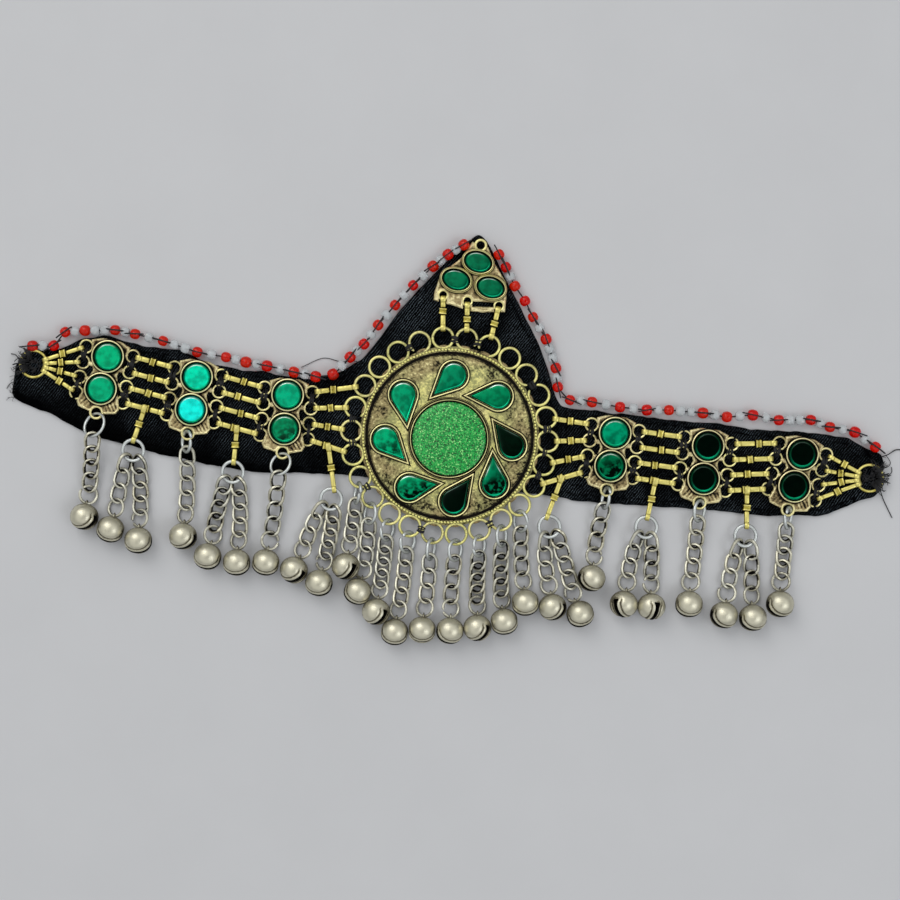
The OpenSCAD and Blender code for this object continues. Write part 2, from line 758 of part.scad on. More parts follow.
module medal_drop(d) {
    row = MEDAL_DROPS[d];
    centre = [row[1], row[2]];
    loop = polar(medal_ring_r, row[0]);
    u = unit(centre - loop);
    h = loop + medal_loop_r * u;
    stand_z = floor_gap + upright_r + wire_r;
    reach = sqrt(pow(upright_r, 2) - pow(upright_drop, 2));
    lean = (loop.x < 0 ? 1 : -1) * pow(-1, row[3]);
    color(steel) {
        upright_ring(h, u, medal_forward, stand_z);
        drop(h + (medal_forward + reach) * u, centre, row[3], row[4], row[5], row[6],
             stand_z - upright_drop, 0, lean, link_roll, upright_hook);
    }
}

module medal_drops(group) {
    for (d = [group * 3:group * 3 + 2])
        medal_drop(d);
}

cloth_band();
medallion();
glitter_disc();
peak_plaque();
bars_peak();
end_ring(0);  // end_ring_left
end_ring(1);  // end_ring_right
for (t = [0:7])
    teardrop(t);
for (p = [0:5])
    plaque(p);
for (s = [0:11])
    round_stone(floor(s / 2), s % 2 == 0 ? 1 : -1);
for (i = [0:2])
    peak_stone(i);
for (g = [0:7])
    gap_bars(g);
for (d = [0:5])
    foot_drop(d);
for (d = [0:5])
    drop_pair(d);
for (g = [0:2])
    medal_drops(g);
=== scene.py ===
import math
import random
from functools import lru_cache

import bpy
import numpy as np
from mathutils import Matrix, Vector
from mathutils.geometry import delaunay_2d_cdt


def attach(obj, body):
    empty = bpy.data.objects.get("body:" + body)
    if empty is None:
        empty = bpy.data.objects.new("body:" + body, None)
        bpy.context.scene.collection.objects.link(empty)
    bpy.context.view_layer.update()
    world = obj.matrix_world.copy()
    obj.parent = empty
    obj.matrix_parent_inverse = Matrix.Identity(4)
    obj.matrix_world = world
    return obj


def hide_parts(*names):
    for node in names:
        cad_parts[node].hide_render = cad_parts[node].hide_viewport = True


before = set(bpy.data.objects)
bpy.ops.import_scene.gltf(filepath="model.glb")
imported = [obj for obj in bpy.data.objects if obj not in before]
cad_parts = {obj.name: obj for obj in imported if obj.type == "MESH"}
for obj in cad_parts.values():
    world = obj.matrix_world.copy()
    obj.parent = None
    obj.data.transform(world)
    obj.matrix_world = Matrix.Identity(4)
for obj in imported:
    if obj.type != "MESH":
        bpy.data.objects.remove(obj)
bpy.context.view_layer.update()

# Cloth band: black satin over a lining, turned in along its edge, with a central peak.
# The cast pieces are sewn onto it. It lies flat on the surface, wrinkled at its ends.
# Lengths are in millimetres, and piece() turns them into metres; the last section is in metres.
MM = 0.001
CLOTH = np.array([
    # place along the band, lower edge, upper edge
    [-163, -7.5, 4], [-161.5, -9, 7], [-157.5, -10, 10], [-147.5, -12.5, 12],
    [-140, -15, 17], [-133, -18, 19], [-116.5, -20, 17.5], [-103, -22, 17.5],
    [-94, -22.3, 14.5], [-84, -23, 13.5], [-71, -23.5, 14], [-54, -21.2, 13.5],
    [-43.5, -20.5, 18], [-36, -19.5, 24], [-30.5, -19.3, 32.5], [-24.5, -19, 44],
    [-14, -18.7, 59], [-7.5, -18.5, 67], [-1.5, -18.2, 74.2], [0.5, -18, 75.5],
    [3.5, -18, 73.5], [9, -17.7, 66], [15.5, -17.5, 56.5], [22, -17.3, 47],
    [27.5, -17, 39.5], [32.5, -17, 30], [36.5, -17, 20.5], [39.5, -17, 16.5],
    [58.5, -17, 17], [77, -15.5, 17.5], [95.5, -14, 18.3], [110.5, -13.5, 18.2],
    [125, -12.5, 19.3], [140, -10, 20], [147, -7, 20], [154, -2.5, 17.3],
    [159.5, 0, 16], [161, 2, 13],
])
FOLDS = [
    # start and end of the ridge, its half width, its height
    [(-162, 0), (-143, -10.5), 1.6, 0.9], [(-160, -6), (-139, -13.6), 1.3, 0.7],
    [(-161, 3), (-149, -3), 1.0, 0.5], [(-157, -8), (-150, 1), 1.1, 0.45],
    [(-146, 15), (-128, 18), 1.4, 0.6], [(-112, 15.5), (-96, 13.5), 1.5, 0.5],
    [(-80, -20.5), (-62, -21.5), 1.4, 0.5], [(-52, 12), (-40, 19.5), 1.5, 0.7],
    [(-22, 44), (-8, 64), 1.6, 0.7], [(9, 62), (24, 42), 1.6, 0.7],
    [(20, 40), (34, 24), 1.8, 0.8], [(44, -15.5), (56, -15), 1.2, 0.45],
    [(66, 16), (88, 16.5), 1.3, 0.6], [(104, 16.5), (124, 17.5), 1.4, 0.6],
    [(139, 17.5), (158, 14.5), 1.5, 0.7], [(143, -6), (156, 1), 1.4, 0.7],
]
CLOTH_T = 1.5
CLOTH_ROUND = 0.9   # how far in from the edge the turned-in satin rounds off
CLOTH_LOW = 0.05    # height of its underside above the surface
CLOTH_STEPS = (406, 85)     # points along the band and across it
STITCH_IN = 2.3     # distance of the sewn line from the edge
NOISE_CELLS = 256   # the noise repeats after this many bumps
NOISE_SHIFT = 500   # and starts this many bumps in


def linear(r, g, b):
    """A colour as seen on a screen, 0 to 255, as linear values."""
    shares = [c / 255 for c in (r, g, b)]
    return tuple(c / 12.92 if c < 0.0404 else ((c + 0.055) / 1.055) ** 2.4 for c in shares) + (1.0,)


def value_noise(x, y, size, seed):
    """Smooth noise from -1 to 1 with bumps of this size."""
    table = np.random.default_rng(seed).uniform(-1, 1, (NOISE_CELLS, NOISE_CELLS))
    u, v = np.asarray(x) / size + NOISE_SHIFT, np.asarray(y) / size + NOISE_SHIFT
    i, j = np.floor(u).astype(int), np.floor(v).astype(int)
    fu, fv = u - i, v - j
    fu, fv = fu * fu * (3 - 2 * fu), fv * fv * (3 - 2 * fv)
    at = lambda a, b: table[a % NOISE_CELLS, b % NOISE_CELLS]
    near = at(i, j) * (1 - fu) + at(i + 1, j) * fu
    far = at(i, j + 1) * (1 - fu) + at(i + 1, j + 1) * fu
    return near * (1 - fv) + far * fv


def part(points, faces, age_and_shade=0.0, tone=0.0):
    """A bit of mesh: points, groups of triangles or quads, how tarnished it is with painted shade, and how
    tinted it is.
    """
    points = np.asarray(points, float)
    fill = lambda v: np.broadcast_to(np.asarray(v, float), len(points)).copy()
    faces = [np.asarray(f, int) for f in faces if len(f)]
    return {"points": points, "faces": faces, "age_and_shade": fill(age_and_shade), "tone": fill(tone)}


def grid_faces(rows, cols, closed, looped=False):
    """Quads between rows of points; closed joins the last column to the first, looped the rows."""
    i = np.arange(rows if looped else rows - 1)[:, None]
    j = np.arange(cols if closed else cols - 1)[None, :]
    k = (j + 1) % cols
    here, ahead = i * cols, (i + 1) % rows * cols
    return np.stack([here + j, here + k, ahead + k, ahead + j], -1).reshape(-1, 4)


def piece(name, parts, material, stands_for=(), sharp=38, colour=None):
    """Joins parts into one object that rides the body and stands for CAD nodes."""
    start, faces = 0, []
    for p in parts:
        for f in p["faces"]:
            faces += (f + start).tolist()
        start += len(p["points"])
    mesh = bpy.data.meshes.new(name)
    mesh.from_pydata((np.concatenate([p["points"] for p in parts]) * MM).tolist(), [], faces)
    mesh.update()
    mesh.shade_smooth()
    mesh.set_sharp_from_angle(angle=math.radians(sharp))
    for field in ("age_and_shade", "tone"):
        layer = mesh.attributes.new(field, "FLOAT", "POINT")
        layer.data.foreach_set("value", np.concatenate([p[field] for p in parts]))
    if colour is not None:
        layer = mesh.attributes.new("foil", "FLOAT_COLOR", "POINT")
        layer.data.foreach_set("color", np.asarray(colour, float).ravel())
    mesh.materials.append(material)
    obj = bpy.data.objects.new(name, mesh)
    bpy.context.scene.collection.objects.link(obj)
    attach(obj, "root")
    if stands_for:
        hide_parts(*stands_for)
    return obj


def new_material(name):
    """A material, its node tree and its main shader."""
    material = bpy.data.materials.new(name)
    material.use_nodes = True
    tree = material.node_tree
    return material, tree, tree.nodes["Principled BSDF"]


def set_inputs(tree, target, values):
    """Gives each named input of a node its value, or links another node's output to it."""
    for key, value in values.items():
        if isinstance(value, bpy.types.NodeSocket):
            tree.links.new(value, target.inputs[key])
        else:
            target.inputs[key].default_value = value


def node(tree, kind, inputs=None, **settings):
    """Adds a shader node with these settings and inputs."""
    n = tree.nodes.new("ShaderNode" + kind)
    for key, value in settings.items():
        setattr(n, key, value)
    set_inputs(tree, n, inputs or {})
    return n


def maths(tree, operation, a, b=0.0, clamp=False):
    """The result of a Math node."""
    return node(tree, "Math", {0: a, 1: b}, operation=operation, use_clamp=clamp).outputs[0]


def plus(tree, a, b):
    return maths(tree, "ADD", a, b)


def times(tree, first, *others):
    for other in others:
        first = maths(tree, "MULTIPLY", first, other)
    return first


def between(tree, value, low, high):
    """0 below low, 1 above high, smooth between."""
    limits = {"Value": value, "From Min": low, "From Max": high}
    return node(tree, "MapRange", limits, interpolation_type="SMOOTHSTEP").outputs["Result"]


def mix_colour(tree, factor, a, b, blend="MIX"):
    return node(tree, "Mix", {0: factor, 6: a, 7: b}, data_type="RGBA", blend_type=blend).outputs[2]


def millimetres(tree):
    """The piece's own coordinates, in millimetres."""
    where = node(tree, "TexCoord").outputs["Object"]
    return node(tree, "VectorMath", {0: where, "Scale": 1000.0}, operation="SCALE").outputs[0]


def noise(tree, where, scale, detail=3.0, roughness=0.55):
    settings = {"Vector": where, "Scale": scale, "Detail": detail, "Roughness": roughness}
    return node(tree, "TexNoise", settings).outputs["Fac"]


def bump(tree, height, strength, distance):
    """A normal roughened by this height; the distance is in metres."""
    return node(tree, "Bump", {"Height": height, "Strength": strength, "Distance": distance}).outputs[0]


def read(tree, name, output="Fac"):
    """A value that the mesh holds at each point."""
    return node(tree, "Attribute", attribute_name=name).outputs[output]


def smoothed(values, sigma):
    """Values along a line, evened out over their neighbours."""
    reach = int(3 * sigma) + 1
    kernel = np.exp(-0.5 * (np.arange(-reach, reach + 1) / sigma) ** 2)
    padded = np.concatenate([np.full(reach, values[0]), values, np.full(reach, values[-1])])
    return np.convolve(padded, kernel / kernel.sum(), "valid")


def cloth_edges(x):
    """Lower and upper edge of the cloth at these places, with the waver of a hand-turned hem."""
    fine = np.arange(CLOTH[0, 0], CLOTH[-1, 0] + 0.4, 0.4)
    low = smoothed(np.interp(fine, CLOTH[:, 0], CLOTH[:, 1]), 1.8)
    high = smoothed(np.interp(fine, CLOTH[:, 0], CLOTH[:, 2]), 1.8)
    low += 0.28 * value_noise(fine, 0 * fine, 5.5, 3) + 0.18 * value_noise(fine, 0 * fine, 2.2, 4)
    high += 0.35 * value_noise(fine, 0 * fine, 6.5, 5) + 0.2 * value_noise(fine, 0 * fine, 2.4, 6)
    end = np.minimum(fine - fine[0], fine[-1] - fine)
    pull = 0.16 * np.clip(1 - end / 1.6, 0, 1) ** 2
    middle = (low + high) / 2
    low, high = low + (middle - low) * pull, high + (middle - high) * pull
    return np.interp(x, fine, low), np.interp(x, fine, high)


def fold_rise(x, y):
    """Height of the creases and folds above the flat cloth."""
    rise = np.zeros_like(x)
    for (ax, ay), (bx, by), half_w, height in FOLDS:
        dx, dy = bx - ax, by - ay
        along = np.clip(((x - ax) * dx + (y - ay) * dy) / (dx * dx + dy * dy), 0, 1)
        away = np.hypot(x - ax - along * dx, y - ay - along * dy)
        rise = np.maximum(rise, height * np.exp(-(away / half_w) ** 2))
    return rise


def cloth_part():
    """The band as one closed sheet, and its flat area in square metres."""
    rows, cols = CLOTH_STEPS
    xs = np.linspace(CLOTH[0, 0], CLOTH[-1, 0], rows)
    k = np.linspace(0, 1, cols)
    share = 0.55 * k + 0.45 * (0.5 - 0.5 * np.cos(math.pi * k))
    low, high = cloth_edges(xs)
    x = np.repeat(xs[:, None], cols, 1)
    y = low[:, None] + (high - low)[:, None] * share[None, :]
    slope = np.hypot(1, np.gradient(high, xs))[:, None]
    edge = np.minimum(y - low[:, None], (high[:, None] - y) / slope)
    inside = np.minimum(edge, np.minimum(x - xs[0], xs[-1] - x))
    round_off = np.sqrt(np.clip(1 - (1 - np.clip(inside / CLOTH_ROUND, 0, 1)) ** 2, 0, 1))
    # Both ends are looser than the middle, which the castings hold flat
    loose = 1 + 1.6 * np.clip((-138 - x) / 15, 0, 1) + 1.2 * np.clip((x - 140) / 12, 0, 1)
    pucker = 0.2 * np.exp(-inside / 2.4) * value_noise(x + 0.6 * y, 0.25 * y, 1.9, 8) * loose
    ripple = 0.09 * value_noise(x, y, 3.1, 9) * loose
    ripple = ripple + 0.07 * value_noise(x * 0.6 + y, y * 0.7 - x, 7.0, 10) * loose
    stitch = -0.16 * np.exp(-((inside - STITCH_IN) / 0.4) ** 2)
    full = CLOTH_T + fold_rise(x, y) + pucker + ripple + stitch
    middle = CLOTH_T * 0.5
    top = np.stack([x, y, middle + (full - middle) * round_off], -1).reshape(-1, 3)
    under = np.stack([x, y, middle + (CLOTH_LOW - middle) * round_off], -1).reshape(-1, 3)
    rim = np.zeros((rows, cols), bool)
    rim[0, :] = rim[-1, :] = rim[:, 0] = rim[:, -1] = True
    keep = np.where(~rim.ravel())[0]
    top[rim.ravel(), 2] = middle
    faces = grid_faces(rows, cols, False)
    below = np.arange(rows * cols)
    below[keep] = rows * cols + np.arange(len(keep))
    # Painted shade: the satin goes near black in the hollows of its puckers and along the sewn line
    crease = np.clip(0.5 - pucker.ravel() * 2.5 - stitch.ravel() * 2, 0, 1)
    # Painted shade: the lower strip on the left is darkened, as if it turned away from the light
    turned = np.exp(-((y - low[:, None]) / 8.5) ** 2) * np.clip((-30 - x) / 25, 0, 1)
    painted_light = (1 - 0.95 * turned).ravel()
    area = float(np.trapz(high - low, xs)) * MM * MM
    band = part(np.concatenate([top, under[keep]]), [faces[:, ::-1], below[faces]],
                np.concatenate([crease, np.full(len(keep), 0.5)]), np.concatenate([painted_light, painted_light[keep]]))
    return band, area


def satin_material():
    """Black satin: fine diagonal twill with a bluish painted sheen on its floats, and pale grey flecks."""
    material, tree, shader = new_material("black_satin")
    where = millimetres(tree)
    warp = noise(tree, where, 0.35, 2.0)
    shift = node(tree, "CombineXYZ", {0: times(tree, warp, 1.3), 1: 0.0, 2: 0.0}).outputs[0]
    bent = node(tree, "VectorMath", {0: where, 1: shift}).outputs[0]
    lines = node(tree, "Mapping", {"Vector": bent, "Rotation": (0, 0, math.radians(30))}).outputs[0]
    wave = {"Vector": lines, "Scale": 0.37, "Distortion": 0.6, "Detail": 1.0, "Detail Scale": 1.5}
    twill = node(tree, "TexWave", wave).outputs["Fac"]
    threads = noise(tree, where, 3.2, 2.0, 0.7)
    patch = noise(tree, where, 0.06, 3.0)
    fleck = between(tree, noise(tree, where, 1.3, 4.0, 0.75), 0.6, 0.74)
    painted_light = read(tree, "tone")
    # The sheen is painted light; it and the flecks are dimmed where the cloth holds painted shade
    painted_sheen_patches = plus(tree, times(tree, between(tree, patch, 0.4, 0.66), 0.75), 0.25)
    painted_sheen = times(tree, between(tree, twill, 0.55, 0.95), painted_sheen_patches, between(tree, threads, 0.4, 0.66), painted_light)
    base = mix_colour(tree, painted_sheen, linear(0, 0, 0), linear(96, 107, 116))
    base = mix_colour(tree, times(tree, fleck, 0.65, painted_light), base, linear(106, 114, 121))
    # Painted shade: near black in the cloth's creases and along its sewn line
    base = mix_colour(tree, between(tree, read(tree, "age_and_shade"), 0.55, 1.0), base, linear(1, 1, 2))
    height = plus(tree, times(tree, twill, 0.7), times(tree, threads, 0.5))
    set_inputs(tree, shader, {
        "Base Color": base,
        "Roughness": 0.48,
        "Specular IOR Level": 0.008,
        "Sheen Weight": 0.002,
        "Sheen Roughness": 0.45,
        "Sheen Tint": linear(150, 165, 180),
        "Normal": bump(tree, height, 0.6, 0.00009),
    })
    return material


band, cloth_area = cloth_part()
cloth = piece("cloth_band_satin", [band], satin_material(), ["cloth_band"], sharp=180)


# Thread, seed beads and loose fibres: red and milky beads are strung in turn on a black
# thread that is stitched along the upper edge; a few threads have come loose.
BEAD_R = 2.02
BEAD_L = 3.5
BEAD_HOLE = 0.5
BEAD_CLEAR = 0.03   # least gap between a bead and the surface
BEAD_ON_HEM = 1.62  # height at which a bead rests on the cloth's edge
RED_SIZES = (0.95, 1.08)
WHITE_SIZES = (0.86, 0.97)
THREAD_R = 0.27
PEAK_AT = 1.5       # the string passes behind the peak's tip here
BEAD_PROFILE = [
    # radius and place along the hole
    (BEAD_HOLE, -0.85), (1.1, -1), (1.6, -0.8), (1.9, -0.45), (BEAD_R, 0), (1.9, 0.45), (1.6, 0.8), (1.1, 1),
    (BEAD_HOLE, 0.85), (BEAD_HOLE, -0.85),
]
RED_BEADS = [
    # place of each red bead, from the left end over the peak to the right end
    (-157.2, 11.5), (-149.5, 12.8), (-146.2, 18.3), (-139, 19.9), (-128, 21.6), (-120.5, 21.2),
    (-109.9, 20.1), (-96.8, 17.8), (-86, 17.4), (-78.4, 16.6), (-70.5, 16.3), (-60.3, 15.4),
    (-52, 14.9), (-45.8, 16.6), (-40.5, 23.8), (-36.1, 29.3), (-31.9, 37), (-26.7, 45.2),
    (-21.1, 53.4), (-14.8, 61.4), (-9.9, 66.4), (-4.6, 70.7), (8.8, 69), (12, 64.8),
    (16.3, 58.3), (20.7, 53.4), (24.5, 47.9), (30.4, 40.5), (35.5, 30.4), (37.2, 23.5),
    (42.3, 19.4), (50.5, 19.8), (61, 19.4), (71, 19.7), (79.1, 20.8), (91.7, 21.5),
    (100.7, 21.3), (110.1, 23.3), (119.9, 22.8), (131.6, 24.5), (139, 22.9), (148.4, 22.3),
    (156.5, 17.9),
]
LOOSE_THREADS = [
    # radius, then the points that it runs through
    [0.12, (-58, 17.6, 0.5), (-52.1, 21.4, 0.32), (-48.9, 22.3, 0.32), (-44, 21.8, 0.4),
     (-37.8, 22.7, 1.2)],
    [0.2, (157.4, 13.9, 1.9), (161.6, 15.6, 1.2), (164.7, 17.9, 0.4), (168, 18.4, 0.4)],
    [0.17, (160.4, 3.4, 1.4), (162.5, -0.6, 0.7), (164.6, -3.8, 0.4), (166.9, -7.2, 0.4)],
    [0.13, (159.4, 10.4, 1.9), (162.3, 11.1, 1.0), (163.4, 13.1, 0.4), (160.9, 15.6, 1.9)],
    [0.15, (160, 8.4, 1.8), (163, 8.2, 0.8), (164.4, 9.6, 0.4), (164.1, 11.4, 0.4)],
    [0.15, (-161.4, 5.2, 1.8), (-163.6, 7.4, 0.6), (-165.4, 7.6, 0.4)],
    [0.13, (-161.9, -2.2, 1.6), (-164.2, -3.4, 0.5), (-165.2, -5.4, 0.4)],
]
FRAYED_ENDS = [
    # direction, place on X, range on Y, number of fibres
    (-1, -161.6, (-8.5, 5), 16), (1, 159.6, (2, 15), 14),
]
FIBRE_R = 0.07


def placed(p, matrix=None, offset=(0, 0, 0), age_and_shade=0.0, tone=None):
    """The part turned or stretched by a matrix, then moved; age adds to its tarnish."""
    points = p["points"] if matrix is None else p["points"] @ np.asarray(matrix).T
    points = points + np.asarray(offset, float)
    tone = p["tone"] if tone is None else np.full(len(points), float(tone))
    return {"points": points, "faces": p["faces"], "age_and_shade": p["age_and_shade"] + age_and_shade, "tone": tone}


def turn(axis, degrees):
    """The matrix of a turn about one axis."""
    c, s = math.cos(math.radians(degrees)), math.sin(math.radians(degrees))
    matrices = {
        "x": [[1, 0, 0], [0, c, -s], [0, s, c]],
        "y": [[c, 0, s], [0, 1, 0], [-s, 0, c]],
        "z": [[c, -s, 0], [s, c, 0], [0, 0, 1]],
    }
    return np.array(matrices[axis])


def bearing(v):
    """Direction of a vector in the XY plane, in degrees."""
    return math.degrees(math.atan2(v[1], v[0]))


def fan(middle, first, count, back=False):
    """Triangles between a middle point and the ring of points that starts at first."""
    j = np.arange(count)
    k = (j + 1) % count
    if back:
        j, k = k, j
    return np.stack([np.full(count, middle), first + j, first + k], -1)


def tube(path, radius, sides=8, closed=False, age_and_shade=0.0, tone=0.0):
    """A round wire along a path; radius may change from point to point."""
    path = np.asarray(path, float)
    count = len(path)
    ahead = np.roll(path, -1, 0) - np.roll(path, 1, 0) if closed else np.gradient(path, axis=0)
    ahead /= np.linalg.norm(ahead, axis=1)[:, None]
    side = np.cross([0, 0, 1.0] if abs(ahead[0][2]) < 0.9 else [1.0, 0, 0], ahead[0])
    sides_at = [side / np.linalg.norm(side)]
    for k in range(1, count):
        side = sides_at[-1] - ahead[k] * np.dot(sides_at[-1], ahead[k])
        sides_at.append(side / np.linalg.norm(side))
    us = np.array(sides_at)
    vs = np.cross(ahead, us)
    drift = 0.0
    if closed:
        last = us[-1] - ahead[0] * np.dot(us[-1], ahead[0])
        drift = math.atan2(np.dot(last, vs[0]), np.dot(last, us[0]))
    around = np.arange(sides) * 2 * math.pi / sides
    angle = (around[None, :] - drift * (np.arange(count) / count)[:, None])[..., None]
    radius = np.broadcast_to(np.asarray(radius, float), count)[:, None, None]
    points = path[:, None] + radius * (np.cos(angle) * us[:, None] + np.sin(angle) * vs[:, None])
    points = points.reshape(-1, 3)
    if closed:
        return part(points, [grid_faces(count, sides, True, True)], age_and_shade, tone)
    ends = len(points)
    points = np.concatenate([points, path[:1], path[-1:]])
    caps = [fan(ends, 0, sides, True), fan(ends + 1, ends - sides, sides)]
    return part(points, [grid_faces(count, sides, True)] + caps, age_and_shade, tone)


def curve_through(points, steps=14):
    """A smooth path through a few points."""
    p = np.asarray(points, float)
    p = np.concatenate([[2 * p[0] - p[1]], p, [2 * p[-1] - p[-2]]])
    t = np.linspace(0, 1, steps, endpoint=False)[:, None]
    run = []
    for a, b, c, d in zip(p, p[1:], p[2:], p[3:]):
        bend = (2 * a - 5 * b + 4 * c - d) * t ** 2 + (3 * b - a - 3 * c + d) * t ** 3
        run.append(0.5 * (2 * b + (c - a) * t + bend))
    return np.concatenate(run + [p[-2:-1]])


def lathe(profile, steps):
    """Turns a profile of (radius, height, age) about Z, with triangles where it meets the axis."""
    angle = np.arange(steps) * 2 * math.pi / steps
    points, ages, starts, faces = [], [], [], []
    for r, z, age_and_shade in profile:
        starts.append(len(points))
        around = [(r * c, r * s, z) for c, s in zip(np.cos(angle), np.sin(angle))] if r > 0 else [(0, 0, z)]
        points += around
        ages += [age_and_shade] * len(around)
    for a, b, (low, *_), (high, *_) in zip(starts, starts[1:], profile, profile[1:]):
        if low > 0 and high > 0:
            j = np.arange(steps)
            k = (j + 1) % steps
            faces.append(np.stack([a + j, a + k, b + k, b + j], -1))
        elif low > 0:
            faces.append(fan(b, a, steps))
        elif high > 0:
            faces.append(fan(a, b, steps, True))
    return part(points, faces, ages)


def bead_height(x, y):
    """Beads lie on the surface beside the cloth, or lean up on its edge."""
    xs = np.linspace(CLOTH[0, 0], CLOTH[-1, 0], 1600)
    _, high = cloth_edges(xs)
    gap = float(np.min(np.hypot(xs - x, high - y)))
    if y < np.interp(x, xs, high):
        gap = 0.0
    leaning = BEAD_ON_HEM + math.sqrt(max(0, BEAD_R ** 2 - gap ** 2))
    return max(BEAD_R * RED_SIZES[1] + BEAD_CLEAR, leaning)


def bead_part():
    """A seed bead with its hole along X."""
    return placed(lathe([(r, s * BEAD_L / 2, 0) for r, s in BEAD_PROFILE], 22), turn("y", 90))


def glass_bead_material(name, shallow, deep, transmission, ior, painted_sheen_patches):
    """Seed bead glass: deeper in colour from bead to bead, and mottled."""
    material, tree, shader = new_material(name)
    where = millimetres(tree)
    tint = maths(tree, "ADD", read(tree, "tone"), times(tree, noise(tree, where, 0.7, 2.0), 0.3), True)
    set_inputs(tree, shader, {
        "Base Color": mix_colour(tree, tint, shallow, deep),
        "Roughness": 0.12,
        "IOR": ior,
        "Transmission Weight": transmission,
        "Specular IOR Level": painted_sheen_patches,
        "Normal": bump(tree, noise(tree, where, 1.2, 2.0), 0.25, 0.0001),
    })
    return material


def thread_material():
    """Black sewing thread: dull, with a faint ply."""
    material, tree, shader = new_material("black_thread")
    ply = noise(tree, millimetres(tree), 4.0, 3.0)
    set_inputs(tree, shader, {
        "Base Color": mix_colour(tree, ply, linear(8, 8, 10), linear(40, 41, 44)),
        "Roughness": 0.75,
        "Normal": bump(tree, ply, 0.5, 0.00005),
    })
    return material


def back_stitch(at, yaw, top, rng):
    """A stitch over a bead, which starts and ends in its neighbours' holes."""
    yaw = math.radians(yaw + rng.uniform(-9, 9))
    reach = rng.uniform(3.2, 4.6, 2)
    run = [(-reach[0], 1.3), (-2.6, top * 0.86), (-1.2, top * 0.97), (0, top),
           (1.2, top * 0.97), (2.6, top * 0.86), (reach[1], 1.3)]
    return np.array([(at[0] + s * math.cos(yaw), at[1] + s * math.sin(yaw), at[2] + rise) for s, rise in run])


def strung_beads():
    """Red beads with milky ones between each two, and the thread through and over them."""
    rng = np.random.default_rng(21)
    bead = bead_part()
    red = np.array([(x, y, bead_height(x, y)) for x, y in RED_BEADS])
    right = red[:, 0] > PEAK_AT
    strings = {"red": [], "white": []}
    paths = [[], []]
    whips = []
    for k, at in enumerate(red):
        path = paths[int(right[k])]
        has_next = k + 1 < len(red) and right[k + 1] == right[k]
        after = red[k + 1] if has_next else at
        before = red[k - 1] if k > 0 and right[k - 1] == right[k] else at
        size = rng.uniform(*RED_SIZES)
        path.append(at)
        yaw = bearing(after - before) + rng.uniform(-7, 7)
        matrix = turn("z", yaw) @ (np.eye(3) * size)
        strings["red"].append(placed(bead, matrix, at, tone=rng.uniform(0, 0.8)))
        if rng.random() < 0.75:
            whips.append(back_stitch(at, yaw, BEAD_R * size + 0.06, rng))
        step = after - at
        gap = np.hypot(*step[:2])
        count = max(1, int((gap - BEAD_L) / (BEAD_L + 0.2))) if gap >= 2 * BEAD_L - 0.2 else 0
        for m in range(count):
            spot = at + step * (m + 1) / (count + 1)
            spot[2] = bead_height(spot[0], spot[1])
            path.append(spot)
            matrix = turn("z", bearing(step) + rng.uniform(-8, 8)) @ (np.eye(3) * rng.uniform(*WHITE_SIZES))
            strings["white"].append(placed(bead, matrix, spot, tone=rng.uniform(0, 0.8)))
    return strings, [np.array(path) for path in paths], whips


strings, thread_paths, whips = strung_beads()
red_glass = glass_bead_material("red_bead", linear(255, 52, 14), linear(255, 8, 2), 0.6, 1.45, 0.15)
white_glass = glass_bead_material("white_bead", linear(236, 240, 242), linear(226, 231, 233), 0.5, 1.28, 0.4)
piece("red_seed_beads", strings["red"], red_glass)
piece("white_seed_beads", strings["white"], white_glass)
black_thread = thread_material()
rng = random.Random(5)
fibres = [tube(curve_through(path, 6), THREAD_R, 6) for path in thread_paths]
fibres += [tube(curve_through(path, 4), THREAD_R * rng.uniform(0.8, 1.1), 6) for path in whips]
for radius, *points in LOOSE_THREADS:
    fibres.append(tube(curve_through(points), radius, 6))
for end, x, y_range, count in FRAYED_ENDS:
    for _ in range(count):
        y = rng.uniform(*y_range)
        reach, drop = rng.uniform(0.8, 3.4), rng.uniform(-2.2, 2.2)
        bend = (x + end * reach * 0.6, y + drop * 0.3, rng.uniform(0.6, 1.6))
        path = [(x, y, 1.3), bend, (x + end * reach, y + drop, 0.25)]
        fibres.append(tube(curve_through(path, 6), FIBRE_R, 4))
piece("thread_and_fibres", fibres, black_thread)


# Medallion: a cast brass disc sewn to the middle of the band. A beaded wire runs round it
# inside a groove painted dark with shade, cups for eight teardrops and a middle disc are soldered
# on, and 26 wire loops stand round its edge, several of them sprung open.
LOOP_Z = 3.3
PLATE_TOP = 3.9
PLATE_LOW = 2.7
SEAT_LOW = 1.7
BACK_R = 27.6       # radius of the disc behind the plate
MEDAL_LOOPS = 26
MEDAL_FIRST = 88
MEDAL_RING_R = 36.3
MEDAL_LOOP_R = 3.8
MEDAL_WIRE_R = 0.55
GROOVE = (30.15, 31.1)
RIM_BEADS = 165
RIM_BEAD_R = 31.9   # radius of the row of grains
RIM_BEAD_SLANT = 18
EDGE_R = 33.0
DISC_STEPS = 520
DISC_RADII = np.concatenate([
    [12.5], np.arange(13, 29.6, 0.33), [29.7, 29.9, 30.1, 30.25, 30.6, 31.0, 31.2, 31.6, 32.2, 32.7],
    [EDGE_R, EDGE_R + 0.1, EDGE_R + 0.1, EDGE_R],
])
GLITTER_R = 13.5
DISC_AT = (0, -1)
TEARS = [
    # middle of the round end, direction of the tip
    (-19, 12.7, -75), (-1.5, 22.4, -128), (15.8, 17, -173), (23.3, -0.4, 134.5),
    (18.8, -15.2, 101), (4.8, -23.7, 62), (-12, -20.9, 15), (-23.3, -4.5, -38.5),
]
TEAR_R = 4.7
TEAR_TIP = 10.6
OPEN_LOOPS = {
    # loop, counted from the peak clockwise: middle and width of its gap in degrees
    0: (-50, 30), 1: (-128, 60), 3: (-61, 34), 4: (135, 48),
    24: (-95, 40), 20: (-82, 60), 17: (40, 20), 9: (150, 24),
}
